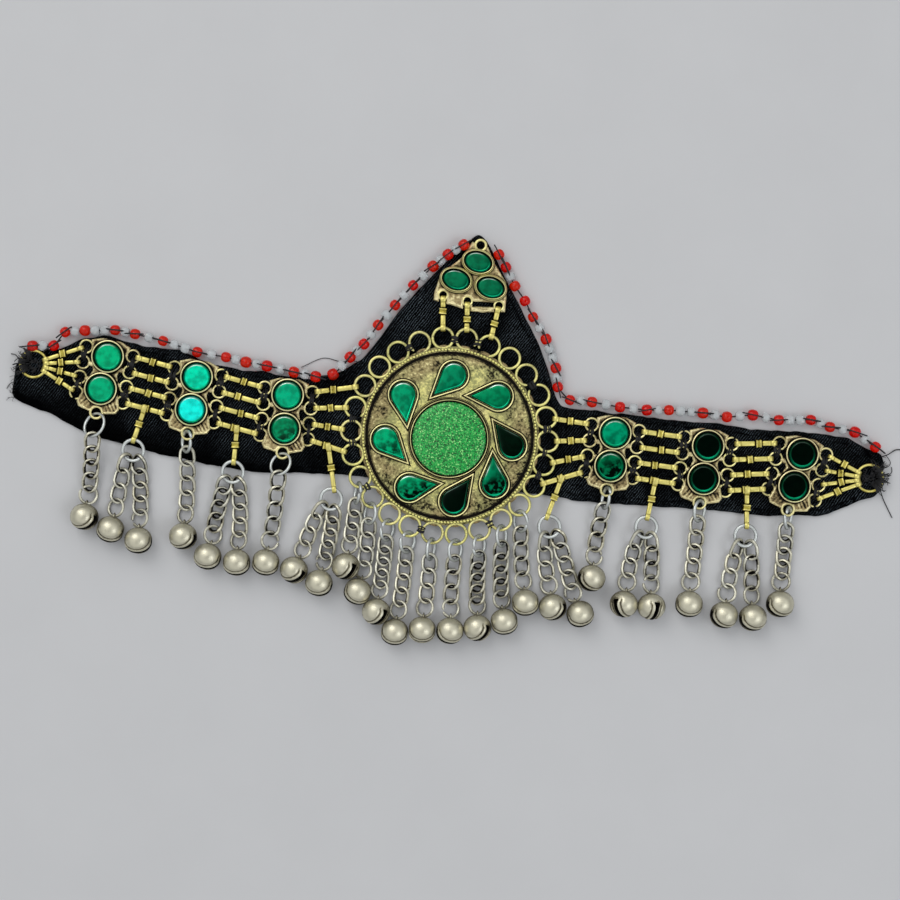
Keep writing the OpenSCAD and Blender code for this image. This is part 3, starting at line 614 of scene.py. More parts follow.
CUP = [
    # offset from the stone, height, tarnish, which holds dark patina and painted shade in the recesses
    (0.12, 3.9, 1.6), (0.16, 4.7, 1.6), (0.42, 5.0, 1.6), (0.48, 5.35, 0.2), (0.6, 5.55, -0.45),
    (0.78, 5.6, -0.5), (0.95, 5.52, -0.4), (1.06, 5.2, 0.2), (1.12, 4.4, 1.2), (1.26, 4.0, 1.5),
    (1.42, 3.95, 1.2), (1.56, 3.82, 0.6),
]
DISC_CUP = [
    # offset from the disc, height, tarnish, which holds dark patina and painted shade in the recesses
    (0.12, 3.9, 1.6), (0.16, 4.7, 1.6), (0.5, 4.95, 1.7), (0.57, 5.35, 0.5), (0.68, 5.55, -0.4),
    (0.8, 5.6, -0.4), (0.92, 5.5, -0.1), (0.98, 5.0, 1.4), (1.2, 4.4, 1.9), (1.3, 4.6, 1.4),
    (1.38, 4.9, -0.1), (1.5, 5.0, -0.3), (1.62, 4.9, 0.1), (1.72, 4.5, 1.3), (1.9, 3.85, 1.5),
]


def metal_group():
    """Worn metal: bright where rubbed, dull on the flats, with dark patina and painted shade in the recesses,
    and painted shade on the sides.
    """
    tree = bpy.data.node_groups.new("worn_and_shaded_metal", "ShaderNodeTree")
    for name, kind in (("Bright", "Color"), ("Flat", "Color"), ("Dark", "Color"), ("Tarnish", "Float")):
        tree.interface.new_socket(name=name, in_out="INPUT", socket_type="NodeSocket" + kind)
    for name, kind in (("Color", "Color"), ("Roughness", "Float"), ("Normal", "Vector")):
        tree.interface.new_socket(name=name, in_out="OUTPUT", socket_type="NodeSocket" + kind)
    given = tree.nodes.new("NodeGroupInput").outputs
    result = tree.nodes.new("NodeGroupOutput")
    where = millimetres(tree)
    patch = noise(tree, where, 0.22, 4.0, 0.6)
    spots = noise(tree, where, 1.3, 4.0, 0.65)
    pits = noise(tree, where, 3.6, 3.0, 0.6)
    stretch = {"Vector": where, "Rotation": (0, 0, 0.7), "Scale": (0.35, 4.5, 2.0)}
    scratch = noise(tree, node(tree, "Mapping", stretch).outputs[0], 0.9, 3.0, 0.6)
    level = plus(tree, read(tree, "age_and_shade"), given["Tarnish"])
    for value, amount in ((patch, 0.9), (spots, 1.0), (scratch, 0.4), (pits, 0.7)):
        level = plus(tree, level, times(tree, maths(tree, "SUBTRACT", value, 0.5), amount))
    # Painted shade: the more a surface turns from facing up, the darker it is
    facing = node(tree, "SeparateXYZ", {0: node(tree, "NewGeometry").outputs["Normal"]}).outputs[2]
    level = plus(tree, level, times(tree, between(tree, facing, 0.8, 0.0), 0.8))
    colour = mix_colour(tree, between(tree, level, -0.05, 0.42), given["Bright"], given["Flat"])
    colour = mix_colour(tree, between(tree, level, 0.45, 0.95), colour, given["Dark"])
    dulling = {"Value": level, "From Min": -0.2, "From Max": 0.9, "To Min": 0.36, "To Max": 0.7}
    height = plus(tree, times(tree, pits, 0.5), plus(tree, spots, times(tree, scratch, 0.6)))
    set_inputs(tree, result, {
        "Color": colour,
        "Roughness": node(tree, "MapRange", dulling).outputs["Result"],
        "Normal": bump(tree, height, 0.45, 0.00012),
    })
    return tree


worn_and_shaded_metal = metal_group()


def metal_material(name, bright, flat, dark, tarnish, tinted=None):
    """tinted holds the bright and flat colours where the piece's tone is 1."""
    material, tree, shader = new_material(name)
    if tinted is not None:
        tone = read(tree, "tone")
        bright = mix_colour(tree, tone, bright, tinted[0])
        flat = mix_colour(tree, tone, flat, tinted[1])
    wear_and_shade = tree.nodes.new("ShaderNodeGroup")
    wear_and_shade.node_tree = worn_and_shaded_metal
    set_inputs(tree, wear_and_shade, {"Bright": bright, "Flat": flat, "Dark": dark, "Tarnish": tarnish})
    set_inputs(tree, shader, {
        "Base Color": wear_and_shade.outputs["Color"],
        "Roughness": wear_and_shade.outputs["Roughness"],
        "Normal": wear_and_shade.outputs["Normal"],
        "Metallic": 0.8,
    })
    return material


antique_brass = metal_material(
    "antique_brass", linear(242, 230, 176), linear(164, 146, 104), linear(18, 14, 9), 0.05,
    (linear(244, 238, 150), linear(176, 176, 118)))


def circle_outline(radius, steps=96):
    """Points round a circle."""
    t = np.arange(steps) * 2 * math.pi / steps
    return np.c_[radius * np.cos(t), radius * np.sin(t)]


def ring(radius, wire, gap=None, steps=44, sides=10, age_and_shade=0.0, tone=0.0):
    """A ring of round wire in the XY plane; gap is the middle and width of an opening."""
    if gap is None:
        path = np.c_[circle_outline(radius, steps), np.zeros(steps)]
        return tube(path, wire, sides, True, age_and_shade, tone)
    start, width = math.radians(gap[0] + gap[1] / 2), math.radians(gap[1])
    t = start + np.linspace(0, 2 * math.pi - width, steps)
    rise = 0.25 * np.linspace(-1, 1, steps) ** 5
    thick = wire * np.concatenate([[0.5, 0.9], np.ones(steps - 4), [0.9, 0.5]])
    return tube(np.c_[radius * np.cos(t), radius * np.sin(t), rise], thick, sides, False, age_and_shade, tone)


def stacked(outlines, profile):
    """Joins one outline for each row of a profile, whose last two values are height and tarnish with painted
    shade.
    """
    count = len(outlines[0])
    points = np.concatenate([np.c_[line, np.full(count, z)] for line, (_, z, _) in zip(outlines, profile)])
    ages = np.repeat([age_and_shade for _, _, age_and_shade in profile], count)
    return part(points, [grid_faces(len(profile), count, True)[:, ::-1]], ages)


def moulding(outline, base_r, profile):
    """Runs a profile of (offset, height, tarnish and painted shade) round an outline scaled out from its
    middle.
    """
    return stacked([outline * (1 + offset / base_r) for offset, _, _ in profile], profile)


def tear_outline(radius=TEAR_R, tip=TEAR_TIP, arc=40, straight=9):
    """A round end about the origin and two straight sides that meet at a tip on X."""
    side = math.acos(radius / tip)
    t = side + np.linspace(0, 2 * math.pi - 2 * side, arc)
    run = np.c_[radius * np.cos(t), radius * np.sin(t)]
    point = np.array([tip, 0.0])
    s = np.linspace(0, 1, straight + 1)[1:, None]
    return np.concatenate([run, run[-1] + (point - run[-1]) * s, point + (run[0] - point) * s[:-1]])


def medal_disc():
    """The disc's face: mottled and pitted, with painted shade in the groove inside the beaded wire."""
    radii = DISC_RADII
    t = np.arange(DISC_STEPS) * 2 * math.pi / DISC_STEPS
    x, y = radii[:, None] * np.cos(t), radii[:, None] * np.sin(t)
    pits = value_noise(x, y, 0.5, 31) * 0.7 + value_noise(x, y, 1.0, 34) * 0.35
    pits = pits + value_noise(x, y, 3.0, 32) * 0.45
    z = PLATE_TOP + 0.07 * pits
    outward = np.clip((radii[:, None] - 20) / 6, 0, 1)
    age_and_shade = np.clip(0.18 + 0.31 * outward - (0.26 + 0.22 * outward) * pits, -0.2, 0.9)
    tone = np.clip(1.0 - 0.55 * outward + 0.5 * value_noise(x, y, 5.0, 33), 0.2, 1)
    groove = (radii > GROOVE[0]) & (radii < GROOVE[1])
    z[groove] = PLATE_TOP - 0.35
    # Painted shade in the groove, and a lighter band of it just inside
    age_and_shade[groove] = 1.6
    age_and_shade[(radii > GROOVE[0] - 0.55) & (radii < GROOVE[0])] = 0.75
    outer = radii > EDGE_R - 0.5
    z[outer] = np.interp(radii[outer], [EDGE_R - 0.5, EDGE_R], [3.75, 3.5])[:, None]
    age_and_shade[outer] = 0.62
    z[-2:] = PLATE_LOW
    points = np.stack([x, y, z], -1).reshape(-1, 3)
    return part(points, [grid_faces(len(radii), DISC_STEPS, True)], age_and_shade.ravel(), tone.ravel())


def back_disc(radius, low, high):
    """The plain underside and side of a disc."""
    return lathe([(0, low, 0.7), (radius, low, 0.7), (radius, high, 0.7)], 96)


def rim_beads():
    """The beaded wire: slanted grains side by side."""
    rows = [(math.cos(a), math.sin(a), 0) for a in np.radians([-60, -20, 20, 60])]
    grain = lathe([(0, -1, 0)] + rows + [(0, 1, 0)], 9)
    grain = placed(grain, turn("y", 90) @ np.diag([0.58, 0.58, 0.62]))
    grains = []
    rng = np.random.default_rng(12)
    for k in range(RIM_BEADS):
        angle = 360 * k / RIM_BEADS
        at = turn("z", angle) @ [RIM_BEAD_R, 0, 4.0]
        matrix = turn("z", angle + 90 - RIM_BEAD_SLANT) @ (np.eye(3) * rng.uniform(0.9, 1.05))
        g = placed(grain, matrix, at, tone=1.0)
        # Painted shade: each grain is darker towards its underside
        g["age_and_shade"] = np.clip((4.24 - g["points"][:, 2]) * 2.6, -0.5, 1.5) + rng.uniform(-0.2, 0.15)
        grains.append(g)
    return grains


def medallion_parts():
    """The disc with its beaded wire, its cups and its wire loops."""
    parts = [medal_disc(), back_disc(EDGE_R, PLATE_LOW, PLATE_LOW + 0.1)]
    parts.append(back_disc(BACK_R, SEAT_LOW, PLATE_LOW + 0.1))
    parts += rim_beads()
    cup = moulding(circle_outline(GLITTER_R, 120), GLITTER_R, DISC_CUP)
    parts.append(placed(cup, None, (*DISC_AT, 0), tone=0.35))
    parts.append(placed(lathe([(GLITTER_R + 0.3, 3.92, 1), (0, 3.92, 1)], 60), None, (*DISC_AT, 0)))
    for x, y, angle in TEARS:
        parts.append(placed(moulding(tear_outline(), TEAR_R, CUP), turn("z", angle), (x, y, 0), tone=0.35))
    rng = np.random.default_rng(14)
    for k in range(MEDAL_LOOPS):
        out = turn("z", MEDAL_FIRST - 360 * k / MEDAL_LOOPS)
        age_and_shade, tone = rng.uniform(-0.2, 0.12), rng.uniform(0.6, 1.0)
        loop = ring(MEDAL_LOOP_R, MEDAL_WIRE_R, OPEN_LOOPS.get(k), age_and_shade=age_and_shade, tone=tone)
        if k not in OPEN_LOOPS:
            loop = placed(loop, turn("x", rng.uniform(-2, 2)))
        parts.append(placed(loop, None, out @ [MEDAL_RING_R, 0, LOOP_Z]))
        # The loop's foot is flattened where it is soldered under the rim
        foot = lathe([(0, -0.3, 0.7), (0.9, -0.3, 0.7), (1.0, 0.1, 0.6), (0.7, 0.35, 0.5), (0, 0.4, 0.5)], 12)
        parts.append(placed(foot, out @ np.diag([1, 2.3, 1]), out @ [MEDAL_RING_R - 3.5, 0, LOOP_Z]))
    return parts


piece("medallion_cast", medallion_parts(), antique_brass, ["medallion"])


# Middle disc: a low clear cabochon over green glitter, held in the medallion's middle cup.
GLITTER_PROFILE = [
    # radius, height, tarnish
    (0, 4.0, 0), (GLITTER_R, 4.0, 0), (GLITTER_R, 4.7, 0), (GLITTER_R - 0.5, 5.0, 0), (12, 5.15, 0),
    (9, 5.24, 0), (5, 5.29, 0), (0, 5.3, 0),
]


def glitter_material():
    """Glitter: small flakes, each with its own green, the brightest with painted glints, under a clear top.
    """
    material, tree, shader = new_material("green_glitter")
    where = millimetres(tree)
    flakes = node(tree, "TexVoronoi", {"Vector": where, "Scale": 2.5, "Randomness": 1.0})
    shade = node(tree, "SeparateColor", {0: flakes.outputs["Color"]}).outputs[0]
    fine = noise(tree, where, 2.6, 3.0, 0.7)
    value = plus(tree, times(tree, shade, 0.7), times(tree, maths(tree, "SUBTRACT", fine, 0.4), 0.9))
    colour = mix_colour(tree, between(tree, value, 0.12, 0.45), linear(0, 74, 26), linear(8, 176, 70))
    # Painted glints: the brightest flakes turn pale
    colour = mix_colour(tree, between(tree, value, 0.64, 0.82), colour, linear(170, 242, 150))
    set_inputs(tree, shader, {
        "Base Color": colour,
        "Metallic": 0.15,
        "Roughness": 0.42,
        "Coat Weight": 0.3,
        "Coat Roughness": 0.08,
        "Normal": bump(tree, value, 0.5, 0.0002),
    })
    return material


disc = placed(lathe(GLITTER_PROFILE, 96), None, (*DISC_AT, 0))
piece("glitter_cabochon", [disc], glitter_material(), ["glitter_disc"])


# Stones: pressed green glass over foil. The round ones have a flat table and a bevelled
# edge cut in facets; the teardrops and ovals are smooth cabochons. Each has its own green,
# which holds painted reflection, bright on the left and near black on the right, a painted
# glow on the side away from the light, a painted pale crescent, and painted dark spots.
STONE_R = 5.0
STONE_LOW = 4.0
PLAY = 0.05         # room between a stone's edge and its cup
PLAQUES = [
    # middle on X and Y, turn, distance between the two stones
    (-129.3, 5.4, -4.4, 12.2), (-95.5, 2.5, -1.5, 12.2), (-60.9, 0.4, 2.5, 12.6),
    (60.3, 3.4, 0, 12.2), (94.9, 3.5, 0, 12.2), (129.1, 5.4, -6, 12.2),
]
# Painted dark reflection for the stones of the two right plaques
PAINTED_SHADE_GREEN = (0, 16, 8)
ROUND_COLOURS = [
    # for each plaque: table of the upper and of the lower stone, and the share of dark spots in each;
    # the greens hold painted reflection, bright on the left and dark on the right
    ((0, 184, 124), (0, 176, 121), 0.1, 0.05), ((0, 232, 182), (20, 255, 236), 0.15, 0.0),
    ((0, 185, 133), (0, 152, 98), 0.0, 0.95), ((0, 200, 142), (0, 142, 90), 0.4, 2.1),
    (PAINTED_SHADE_GREEN, PAINTED_SHADE_GREEN, 0.5, 0.5), (PAINTED_SHADE_GREEN, PAINTED_SHADE_GREEN, 0.3, 0.3),
]
TEAR_COLOURS = [
    # for each teardrop: its green, which holds painted reflection, and the share of dark spots
    ((0, 170, 116), 0.25), ((0, 153, 104), 0.2), ((0, 158, 102), 0.15), ((0, 26, 13), 2.4),
    ((0, 150, 100), 2.7), ((0, 18, 8), 1.3), ((0, 176, 116), 1.7), ((0, 192, 128), 0.8),
]
OVAL_COLOUR = ((0, 122, 80), 0.1)
PAINTED_GLOW_AT = -74       # direction of the painted glow, where the foil would throw the light back
PAINTED_CRESCENT_AT = 104   # and of the painted pale crescent, where the glass edge would catch the window
OVALS = [(1.5, 65, -9), (-5.6, 57.4, -9), (7.4, 56.3, -9)]
OVAL_A = 4.9        # half its length
OVAL_B = 3.5        # half its width
ROUND_ROWS = [
    # share of the outline, height
    (1.0, 4.66), (0.965, 4.86), (0.93, 5.05), (0.88, 5.24), (0.86, 5.285), (0.82, 5.29), (0.4, 5.296),
]
DOME_ROWS = [
    (1.0, 4.55), (0.98, 4.78), (0.95, 4.98), (0.91, 5.14), (0.87, 5.23), (0.83, 5.265), (0.7, 5.28),
    (0.4, 5.293),
]


def glass_material():
    """Green glass over foil: cloudy, with dark spots of painted reflection, as strong as the mesh's value
    says.
    """
    material, tree, shader = new_material("emerald_glass")
    where = millimetres(tree)
    cloud = noise(tree, where, 0.4, 2.0, 0.5)
    spots = noise(tree, where, 0.9, 2.0)
    foil = read(tree, "foil", "Color")
    dimmed = mix_colour(tree, 1.0, foil, (0.62, 0.62, 0.62, 1), "MULTIPLY")
    foil = mix_colour(tree, between(tree, cloud, 0.35, 0.7), foil, dimmed)
    painted_dark_spots = between(tree, plus(tree, times(tree, cloud, 0.75), times(tree, spots, 0.25)), 0.4, 0.6)
    dark = maths(tree, "MINIMUM", times(tree, read(tree, "age_and_shade"), painted_dark_spots), 1.0)
    set_inputs(tree, shader, {
        "Base Color": mix_colour(tree, dark, foil, linear(0, 18, 8)),
        "Metallic": 0.55,
        "Roughness": 0.2,
        "Specular IOR Level": 0.05,
        "Coat Weight": 0.06,
        "Coat Roughness": 0.03,
        "Coat IOR": 1.52,
    })
    return material


emerald_glass = glass_material()


def round_from(points, direction):
    """How far round from a direction each point lies, in degrees."""
    return (np.degrees(np.arctan2(points[:, 1], points[:, 0])) - direction + 180) % 360 - 180


def foil_and_glint_colours(local, share, colour):
    """Colour of the foil under each point: the stone's green, lighter at its edge, a painted glow on one
    side, and a painted highlight crescent on the other. share says how far out each point lies."""
    base = np.array(linear(*colour)[:3])
    edge = np.clip((share - 0.83) / 0.06, 0, 1)
    # Painted glow and painted highlight crescent
    glow = edge * np.exp(-(round_from(local, PAINTED_GLOW_AT) / 50) ** 2)
    crescent = np.clip((share - 0.845) / 0.02, 0, 1) * np.clip((0.935 - share) / 0.02, 0, 1)
    crescent *= np.exp(-(round_from(local, PAINTED_CRESCENT_AT) / 36) ** 4) * np.clip(base[1] / 0.16, 0.1, 1)
    # It fades out towards a teardrop's tip
    beyond = np.clip(np.hypot(local[:, 0], local[:, 1]) - 5.2, 0, 9)
    crescent *= np.exp(-(beyond / 1.5) ** 2)
    out = np.repeat(base[None], len(local), 0)
    for amount, over in ((edge * 0.35, (0, 96, 58)), (glow, (24, 255, 184)), (crescent, (236, 255, 248))):
        out = out * (1 - amount[:, None]) + np.array(linear(*over)[:3]) * amount[:, None]
    return np.c_[out, np.ones(len(out))]


def capped(outline, rows):
    """A stone from its outline, closed above and below, and each point's share of the outline."""
    count = len(outline)
    rows = [(1.0, STONE_LOW)] + rows
    points = [np.c_[outline * s, np.full(count, z)] for s, z in rows]
    points = np.concatenate(points + [[(0, 0, rows[-1][1] + 0.005)], [(0, 0, STONE_LOW)]])
    middle = len(rows) * count
    caps = [fan(middle, middle - count, count), fan(middle + 1, 0, count, True)]
    share = np.repeat([s for s, _ in rows], count)
    return part(points, [grid_faces(len(rows), count, True)] + caps), np.concatenate([share, [0, 0]])


def stone(name, outline, rows, angle, at, colour, dark, stands_for, sharp):
    """One stone as a piece; dark is its share of painted dark spots, a painted reflection, most of them on
    its lower right.
    """
    body, share = capped(outline, rows)
    body = placed(body, turn("z", angle), (*at, 0))
    local = body["points"][:, :2] - np.asarray(at)
    # Painted reflection: the dark spots gather towards the lower right
    lean = local[:, 0] * 0.5 - local[:, 1]
    body["age_and_shade"] = dark * np.clip(0.5 + lean / 8, 0, 1.2) * (share < 0.86)
    colours = foil_and_glint_colours(local, share, colour)
    piece(name, [body], emerald_glass, [stands_for], sharp=sharp, colour=colours)


round_outline = circle_outline(STONE_R - PLAY, 20)
tear_stone = tear_outline(TEAR_R - PLAY, TEAR_TIP - 2 * PLAY, 44, 10)
oval_outline = circle_outline(1, 48) * [OVAL_A - PLAY, OVAL_B - PLAY]
for p, (x, y, angle, spread) in enumerate(PLAQUES):
    for s, side in enumerate(("upper", "lower")):
        at = np.array([x, y]) + (turn("z", angle) @ [0, spread / 2 * (1 - 2 * s), 0])[:2]
        colour, dark = ROUND_COLOURS[p][s], ROUND_COLOURS[p][2 + s]
        stone(f"round_stone_{p + 1}_{side}", round_outline, ROUND_ROWS, 7 * p + 5 * s, at, colour, dark,
              f"stone_{p + 1}_{side}", 7)
for t, (x, y, angle) in enumerate(TEARS):
    colour, dark = TEAR_COLOURS[t]
    stone(f"teardrop_glass_{t + 1}", tear_stone, DOME_ROWS, angle, (x, y), colour, dark,
          f"teardrop_{t + 1}", 50)
for (x, y, angle), side in zip(OVALS, ("top", "left", "right")):
    colour, dark = OVAL_COLOUR
    stone(f"oval_glass_{side}", oval_outline, DOME_ROWS, angle, (x, y), colour, dark,
          f"peak_stone_{side}", 50)


# Plaques: six cast plates, each with two soldered cups, eight thin side loops that the
# bars hook into, and a foot loop for a bell. Their wings carry worn ribs.
PLATE_HALF = [
    (0, 12.4), (3.5, 12.4), (7.3, 11), (6.2, 6.1), (4.6, 0), (6.2, -6.1), (8, -12.3), (7.1, -14),
    (2, -15.3),
]
SIDE_LOOP_X = 8.8
SIDE_LOOP_Y = [8.1, 2.2, -3.5, -9.3]
SIDE_LOOP_R = 2.35
LOOP_WIRE_R = 0.37
CAST_SPACING = 0.45  # distance between the points of a casting's face
CAST_BEVEL = 0.28
FOOT_Y = -15
FOOT_R = 2.2
FOOT_WIRE_R = 0.48
WING_RIBS = [
    # for each plaque: how much of the ribs is left on its left and on its right wing
    (0.5, 0.9), (0.4, 1.0), (0.05, 1.0), (0.5, 0.15), (0.8, 0.7), (0.3, 0.9),
]
LUG = [(0, -0.45, 0.5), (1.0, -0.45, 0.5), (1.15, 0.1, 0.2), (0.8, 0.45, 0.1), (0, 0.5, 0.1)]
ROUND_CUP = [
    # radius, height, tarnish, from the underside to the rim and down to the plate; the tarnish
    # holds dark patina and painted shade in the recesses
    (0, 1.7, 0.8), (5.0, 1.7, 0.8), (5.0, 2.9, 0.8), (5.9, 2.9, 0.8), (6.45, 3.7, 1.3), (6.3, 3.98, 1.5),
    (6.12, 4.3, 1.2), (6.06, 5.1, 0.2), (6.0, 5.45, -0.4), (5.84, 5.58, -0.5), (5.66, 5.6, -0.5),
    (5.52, 5.45, -0.2), (5.46, 5.1, 1.2), (5.2, 4.7, 1.6), (5.14, 3.95, 1.6), (0, 3.93, 1.6),
]


def inside_outline(x, y, outline):
    """Whether each point lies within the outline."""
    inside = np.zeros(x.shape, bool)
    for (ax, ay), (bx, by) in zip(outline, np.roll(outline, -1, 0)):
        cross = (ay > y) != (by > y)
        if ay != by:
            inside ^= cross & (x < (bx - ax) * (y - ay) / (by - ay) + ax)
    return inside


def edge_distance(x, y, outline):
    """How far each point lies from the outline."""
    best = np.full(x.shape, 1e9)
    for a, b in zip(outline, np.roll(outline, -1, 0)):
        d = b - a
        t = np.clip(((x - a[0]) * d[0] + (y - a[1]) * d[1]) / max(d @ d, 1e-12), 0, 1)
        best = np.minimum(best, np.hypot(x - a[0] - t * d[0], y - a[1] - t * d[1]))
    return best


def stepped(outline, spacing):
    """Adds points along the sides of an outline."""
    run = []
    for a, b in zip(outline, np.roll(outline, -1, 0)):
        count = max(1, int(round(np.linalg.norm(b - a) / spacing)))
        run += [a + (b - a) * k / count for k in range(count)]
    return np.array(run)


def filled(outline, holes, spacing):
    """Points and triangles that fill an outline round its holes, about this far apart."""
    lo, hi = outline.min(0), outline.max(0)
    gx, gy = np.meshgrid(np.arange(lo[0], hi[0], spacing), np.arange(lo[1], hi[1], spacing * 0.87))
    gx = gx + (np.arange(gx.shape[0]) % 2)[:, None] * spacing / 2
    gx, gy = gx.ravel(), gy.ravel()
    keep = inside_outline(gx, gy, outline) & (edge_distance(gx, gy, outline) > spacing * 0.6)
    loops = [outline]
    for hx, hy, hr in holes:
        keep &= np.hypot(gx - hx, gy - hy) > hr + spacing * 0.6
        loops.append(circle_outline(hr, 28) + (hx, hy))
    points, edges = [], []
    for loop in loops:
        start = len(points)
        points += loop.tolist()
        edges += [(start + k, start + (k + 1) % len(loop)) for k in range(len(loop))]
    points += np.c_[gx, gy][keep].tolist()
    found, _, triangles, *_ = delaunay_2d_cdt([Vector(p) for p in points], edges, [], 1, 1e-5)
    flat = np.array([(v.x, v.y) for v in found])
    triangles = np.array([t for t in triangles if len(t) == 3])
    centre = flat[triangles].mean(1)
    good = inside_outline(centre[:, 0], centre[:, 1], outline)
    for hx, hy, hr in holes:
        good &= np.hypot(centre[:, 0] - hx, centre[:, 1] - hy) > hr * 0.98
    triangles = triangles[good]
    a, b, c = flat[triangles[:, 0]], flat[triangles[:, 1]], flat[triangles[:, 2]]
    faces_down = (b[:, 0] - a[:, 0]) * (c[:, 1] - a[:, 1]) < (b[:, 1] - a[:, 1]) * (c[:, 0] - a[:, 0])
    triangles[faces_down] = triangles[faces_down][:, ::-1]
    return flat, triangles


def open_edges(faces):
    """Edges of these groups of faces that have a face on one side only."""
    edges = []
    for group in faces:
        for k in range(group.shape[1]):
            edges += group[:, [k, (k + 1) % group.shape[1]]].tolist()
    known = {tuple(e) for e in edges}
    return np.array([e for e in edges if (e[1], e[0]) not in known])


def cast_plate(outline, low, top, relief, holes=()):
    """A cast plate with relief on its face; relief(x, y, edge) gives its rise and its tarnish with painted
    shade.
    """
    outline = stepped(np.array(outline, float)[::-1], CAST_SPACING)
    flat, triangles = filled(outline, holes, CAST_SPACING)
    rim = open_edges([triangles])
    edge = edge_distance(flat[:, 0], flat[:, 1], outline)
    for hx, hy, hr in holes:
        edge = np.minimum(edge, np.abs(np.hypot(flat[:, 0] - hx, flat[:, 1] - hy) - hr))
    rise, age_and_shade = relief(flat[:, 0], flat[:, 1], edge)
    on_rim = np.zeros(len(flat), bool)
    on_rim[rim.ravel()] = True
    z = np.where(on_rim, top - CAST_BEVEL, top + rise)
    age_and_shade = np.where(on_rim, 0.15, age_and_shade)
    n = len(flat)
    sides = np.stack([rim[:, 0] + n, rim[:, 1] + n, rim[:, 1], rim[:, 0]], -1)
    points = np.concatenate([np.c_[flat, z], np.c_[flat, np.full(n, low)]])
    return part(points, [triangles, triangles[:, ::-1] + n, sides], np.concatenate([age_and_shade, np.full(n, 0.7)]))


def cast_grain(x, y, seed):
    """The rough skin of a casting, from -1 to 1."""
    return value_noise(x, y, 0.7, seed) * 0.5 + value_noise(x, y, 1.9, seed + 1) * 0.5


def plaque_parts(p):
    """One plaque: its plate, two cups, eight side loops on lugs, and the foot loop."""
    x0, y0, angle, spread = PLAQUES[p]
    left_ribs, right_ribs = WING_RIBS[p]

    def relief(x, y, edge):
        grain = cast_grain(x, y, 60 + 7 * p)
        cups = np.clip(np.minimum(np.hypot(x, y - spread / 2), np.hypot(x, y + spread / 2)) - 6.1, 0, 9)
        wing = np.clip((-9.6 - y) / 1.0, 0, 1) * np.clip((np.abs(x) - 2.6) / 0.8, 0, 1)
        wave = np.sin((np.abs(x) * 0.8 + y * 0.6) * 2 * math.pi / 1.25)
        ribs = wave * np.where(x < 0, left_ribs, right_ribs) * wing * np.clip((edge - 0.7) / 0.5, 0, 1)
        border = np.exp(-((edge - 0.42) / 0.3) ** 2)
        rise = 0.06 * grain + 0.11 * ribs + 0.12 * border - 0.12 * np.exp(-cups / 0.5)
        # Painted shade with dark patina: the plate is darker round the foot of each cup
        age_and_shade = 0.42 - 0.5 * grain - 0.5 * ribs - 0.75 * border + 1.1 * np.exp(-cups / 0.4)
        return rise, age_and_shade

    outline = PLATE_HALF + [(-x, y) for x, y in PLATE_HALF[:0:-1]]
    parts = [cast_plate(outline, PLATE_LOW, PLATE_TOP, relief, [(0, FOOT_Y, FOOT_R - 0.26)])]
    cup, lug = lathe(ROUND_CUP, 64), lathe(LUG, 14)
    parts += [placed(cup, None, (0, y, 0)) for y in (spread / 2, -spread / 2)]
    rng = np.random.default_rng(90 + p)
    for side in (-1, 1):
        for y in SIDE_LOOP_Y:
            gap = None
            if rng.random() < 0.35:
                out = 0 if side > 0 else 180
                gap = (out + side * rng.choice([-1, 1]) * rng.uniform(58, 80), rng.uniform(16, 34))
            age_and_shade, tone = rng.uniform(-0.2, 0.2), rng.uniform(0.2, 0.6)
            loop = ring(SIDE_LOOP_R, LOOP_WIRE_R, gap, 36, 8, age_and_shade=age_and_shade, tone=tone)
            parts.append(placed(loop, None, (side * SIDE_LOOP_X, y, LOOP_Z)))
            root = (side * (SIDE_LOOP_X - SIDE_LOOP_R - 1.0), y, LOOP_Z)
            parts.append(placed(lug, np.diag([1.35, 0.85, 1]), root))
    foot = ring(FOOT_R, FOOT_WIRE_R, None, 36, 10, age_and_shade=-0.4, tone=0.3)
    parts.append(placed(foot, None, (0, FOOT_Y, LOOP_Z + 0.25)))
    return [placed(q, turn("z", angle), (x0, y0, 0)) for q in parts]


for p in range(len(PLAQUES)):
    piece(f"plaque_{p + 1}_cast", plaque_parts(p), antique_brass, [f"plaque_{p + 1}"])


# Peak plaque: a cast plate near the tip of the peak, with an eye at its top, three oval
# cups and a row of loops along its base, joined on one side by a thin strip.
PEAK_PLATE = [
    (-1.6, 72.2), (-4.6, 66), (-11.6, 58.5), (-12.9, 52), (-12.8, 48.9), (-10.9, 48.6),
    (-10.6, 50.6), (-8.6, 50.6), (-8, 48.2), (-5.2, 47.9), (-1.7, 47.2), (-1.45, 50.2),
    (0.9, 50.3), (1.6, 50.4), (9.4, 51.2), (12.3, 50.9), (12.4, 48), (13.9, 48.1),
    (13.7, 53.5), (12.8, 59), (7.6, 65.5), (4.4, 71),
]
PEAK_STRIP = [
    (0.75, 49), (1.35, 49.55), (1.7, 48.5), (9.2, 49.4), (9.5, 49.9), (10.15, 49.3),
    (10, 47.7), (6, 46.9), (1.3, 46.7),
]
PEAK_LOOPS = [(-9.6, 51.3), (-0.4, 50.3), (11.4, 50.2)]
PEAK_LOOP_R = 1.7
PEAK_EYE = (1.6, 71.3)
PEAK_EYE_R = 1.6
OVAL_CUP = [
    # offset from the stone, height, tarnish, which holds dark patina and painted shade in the recesses
    (0.1, 3.9, 1.6), (0.14, 4.7, 1.6), (0.38, 5.0, 1.6), (0.44, 5.35, 0.2), (0.54, 5.55, -0.45),
    (0.68, 5.6, -0.5), (0.8, 5.5, -0.4), (0.88, 5.2, 0.1), (0.94, 4.8, 0.5), (1.06, 4.7, -0.1),
    (1.22, 4.6, -0.2), (1.34, 4.3, 0.9), (1.42, 3.8, 1.3),
]


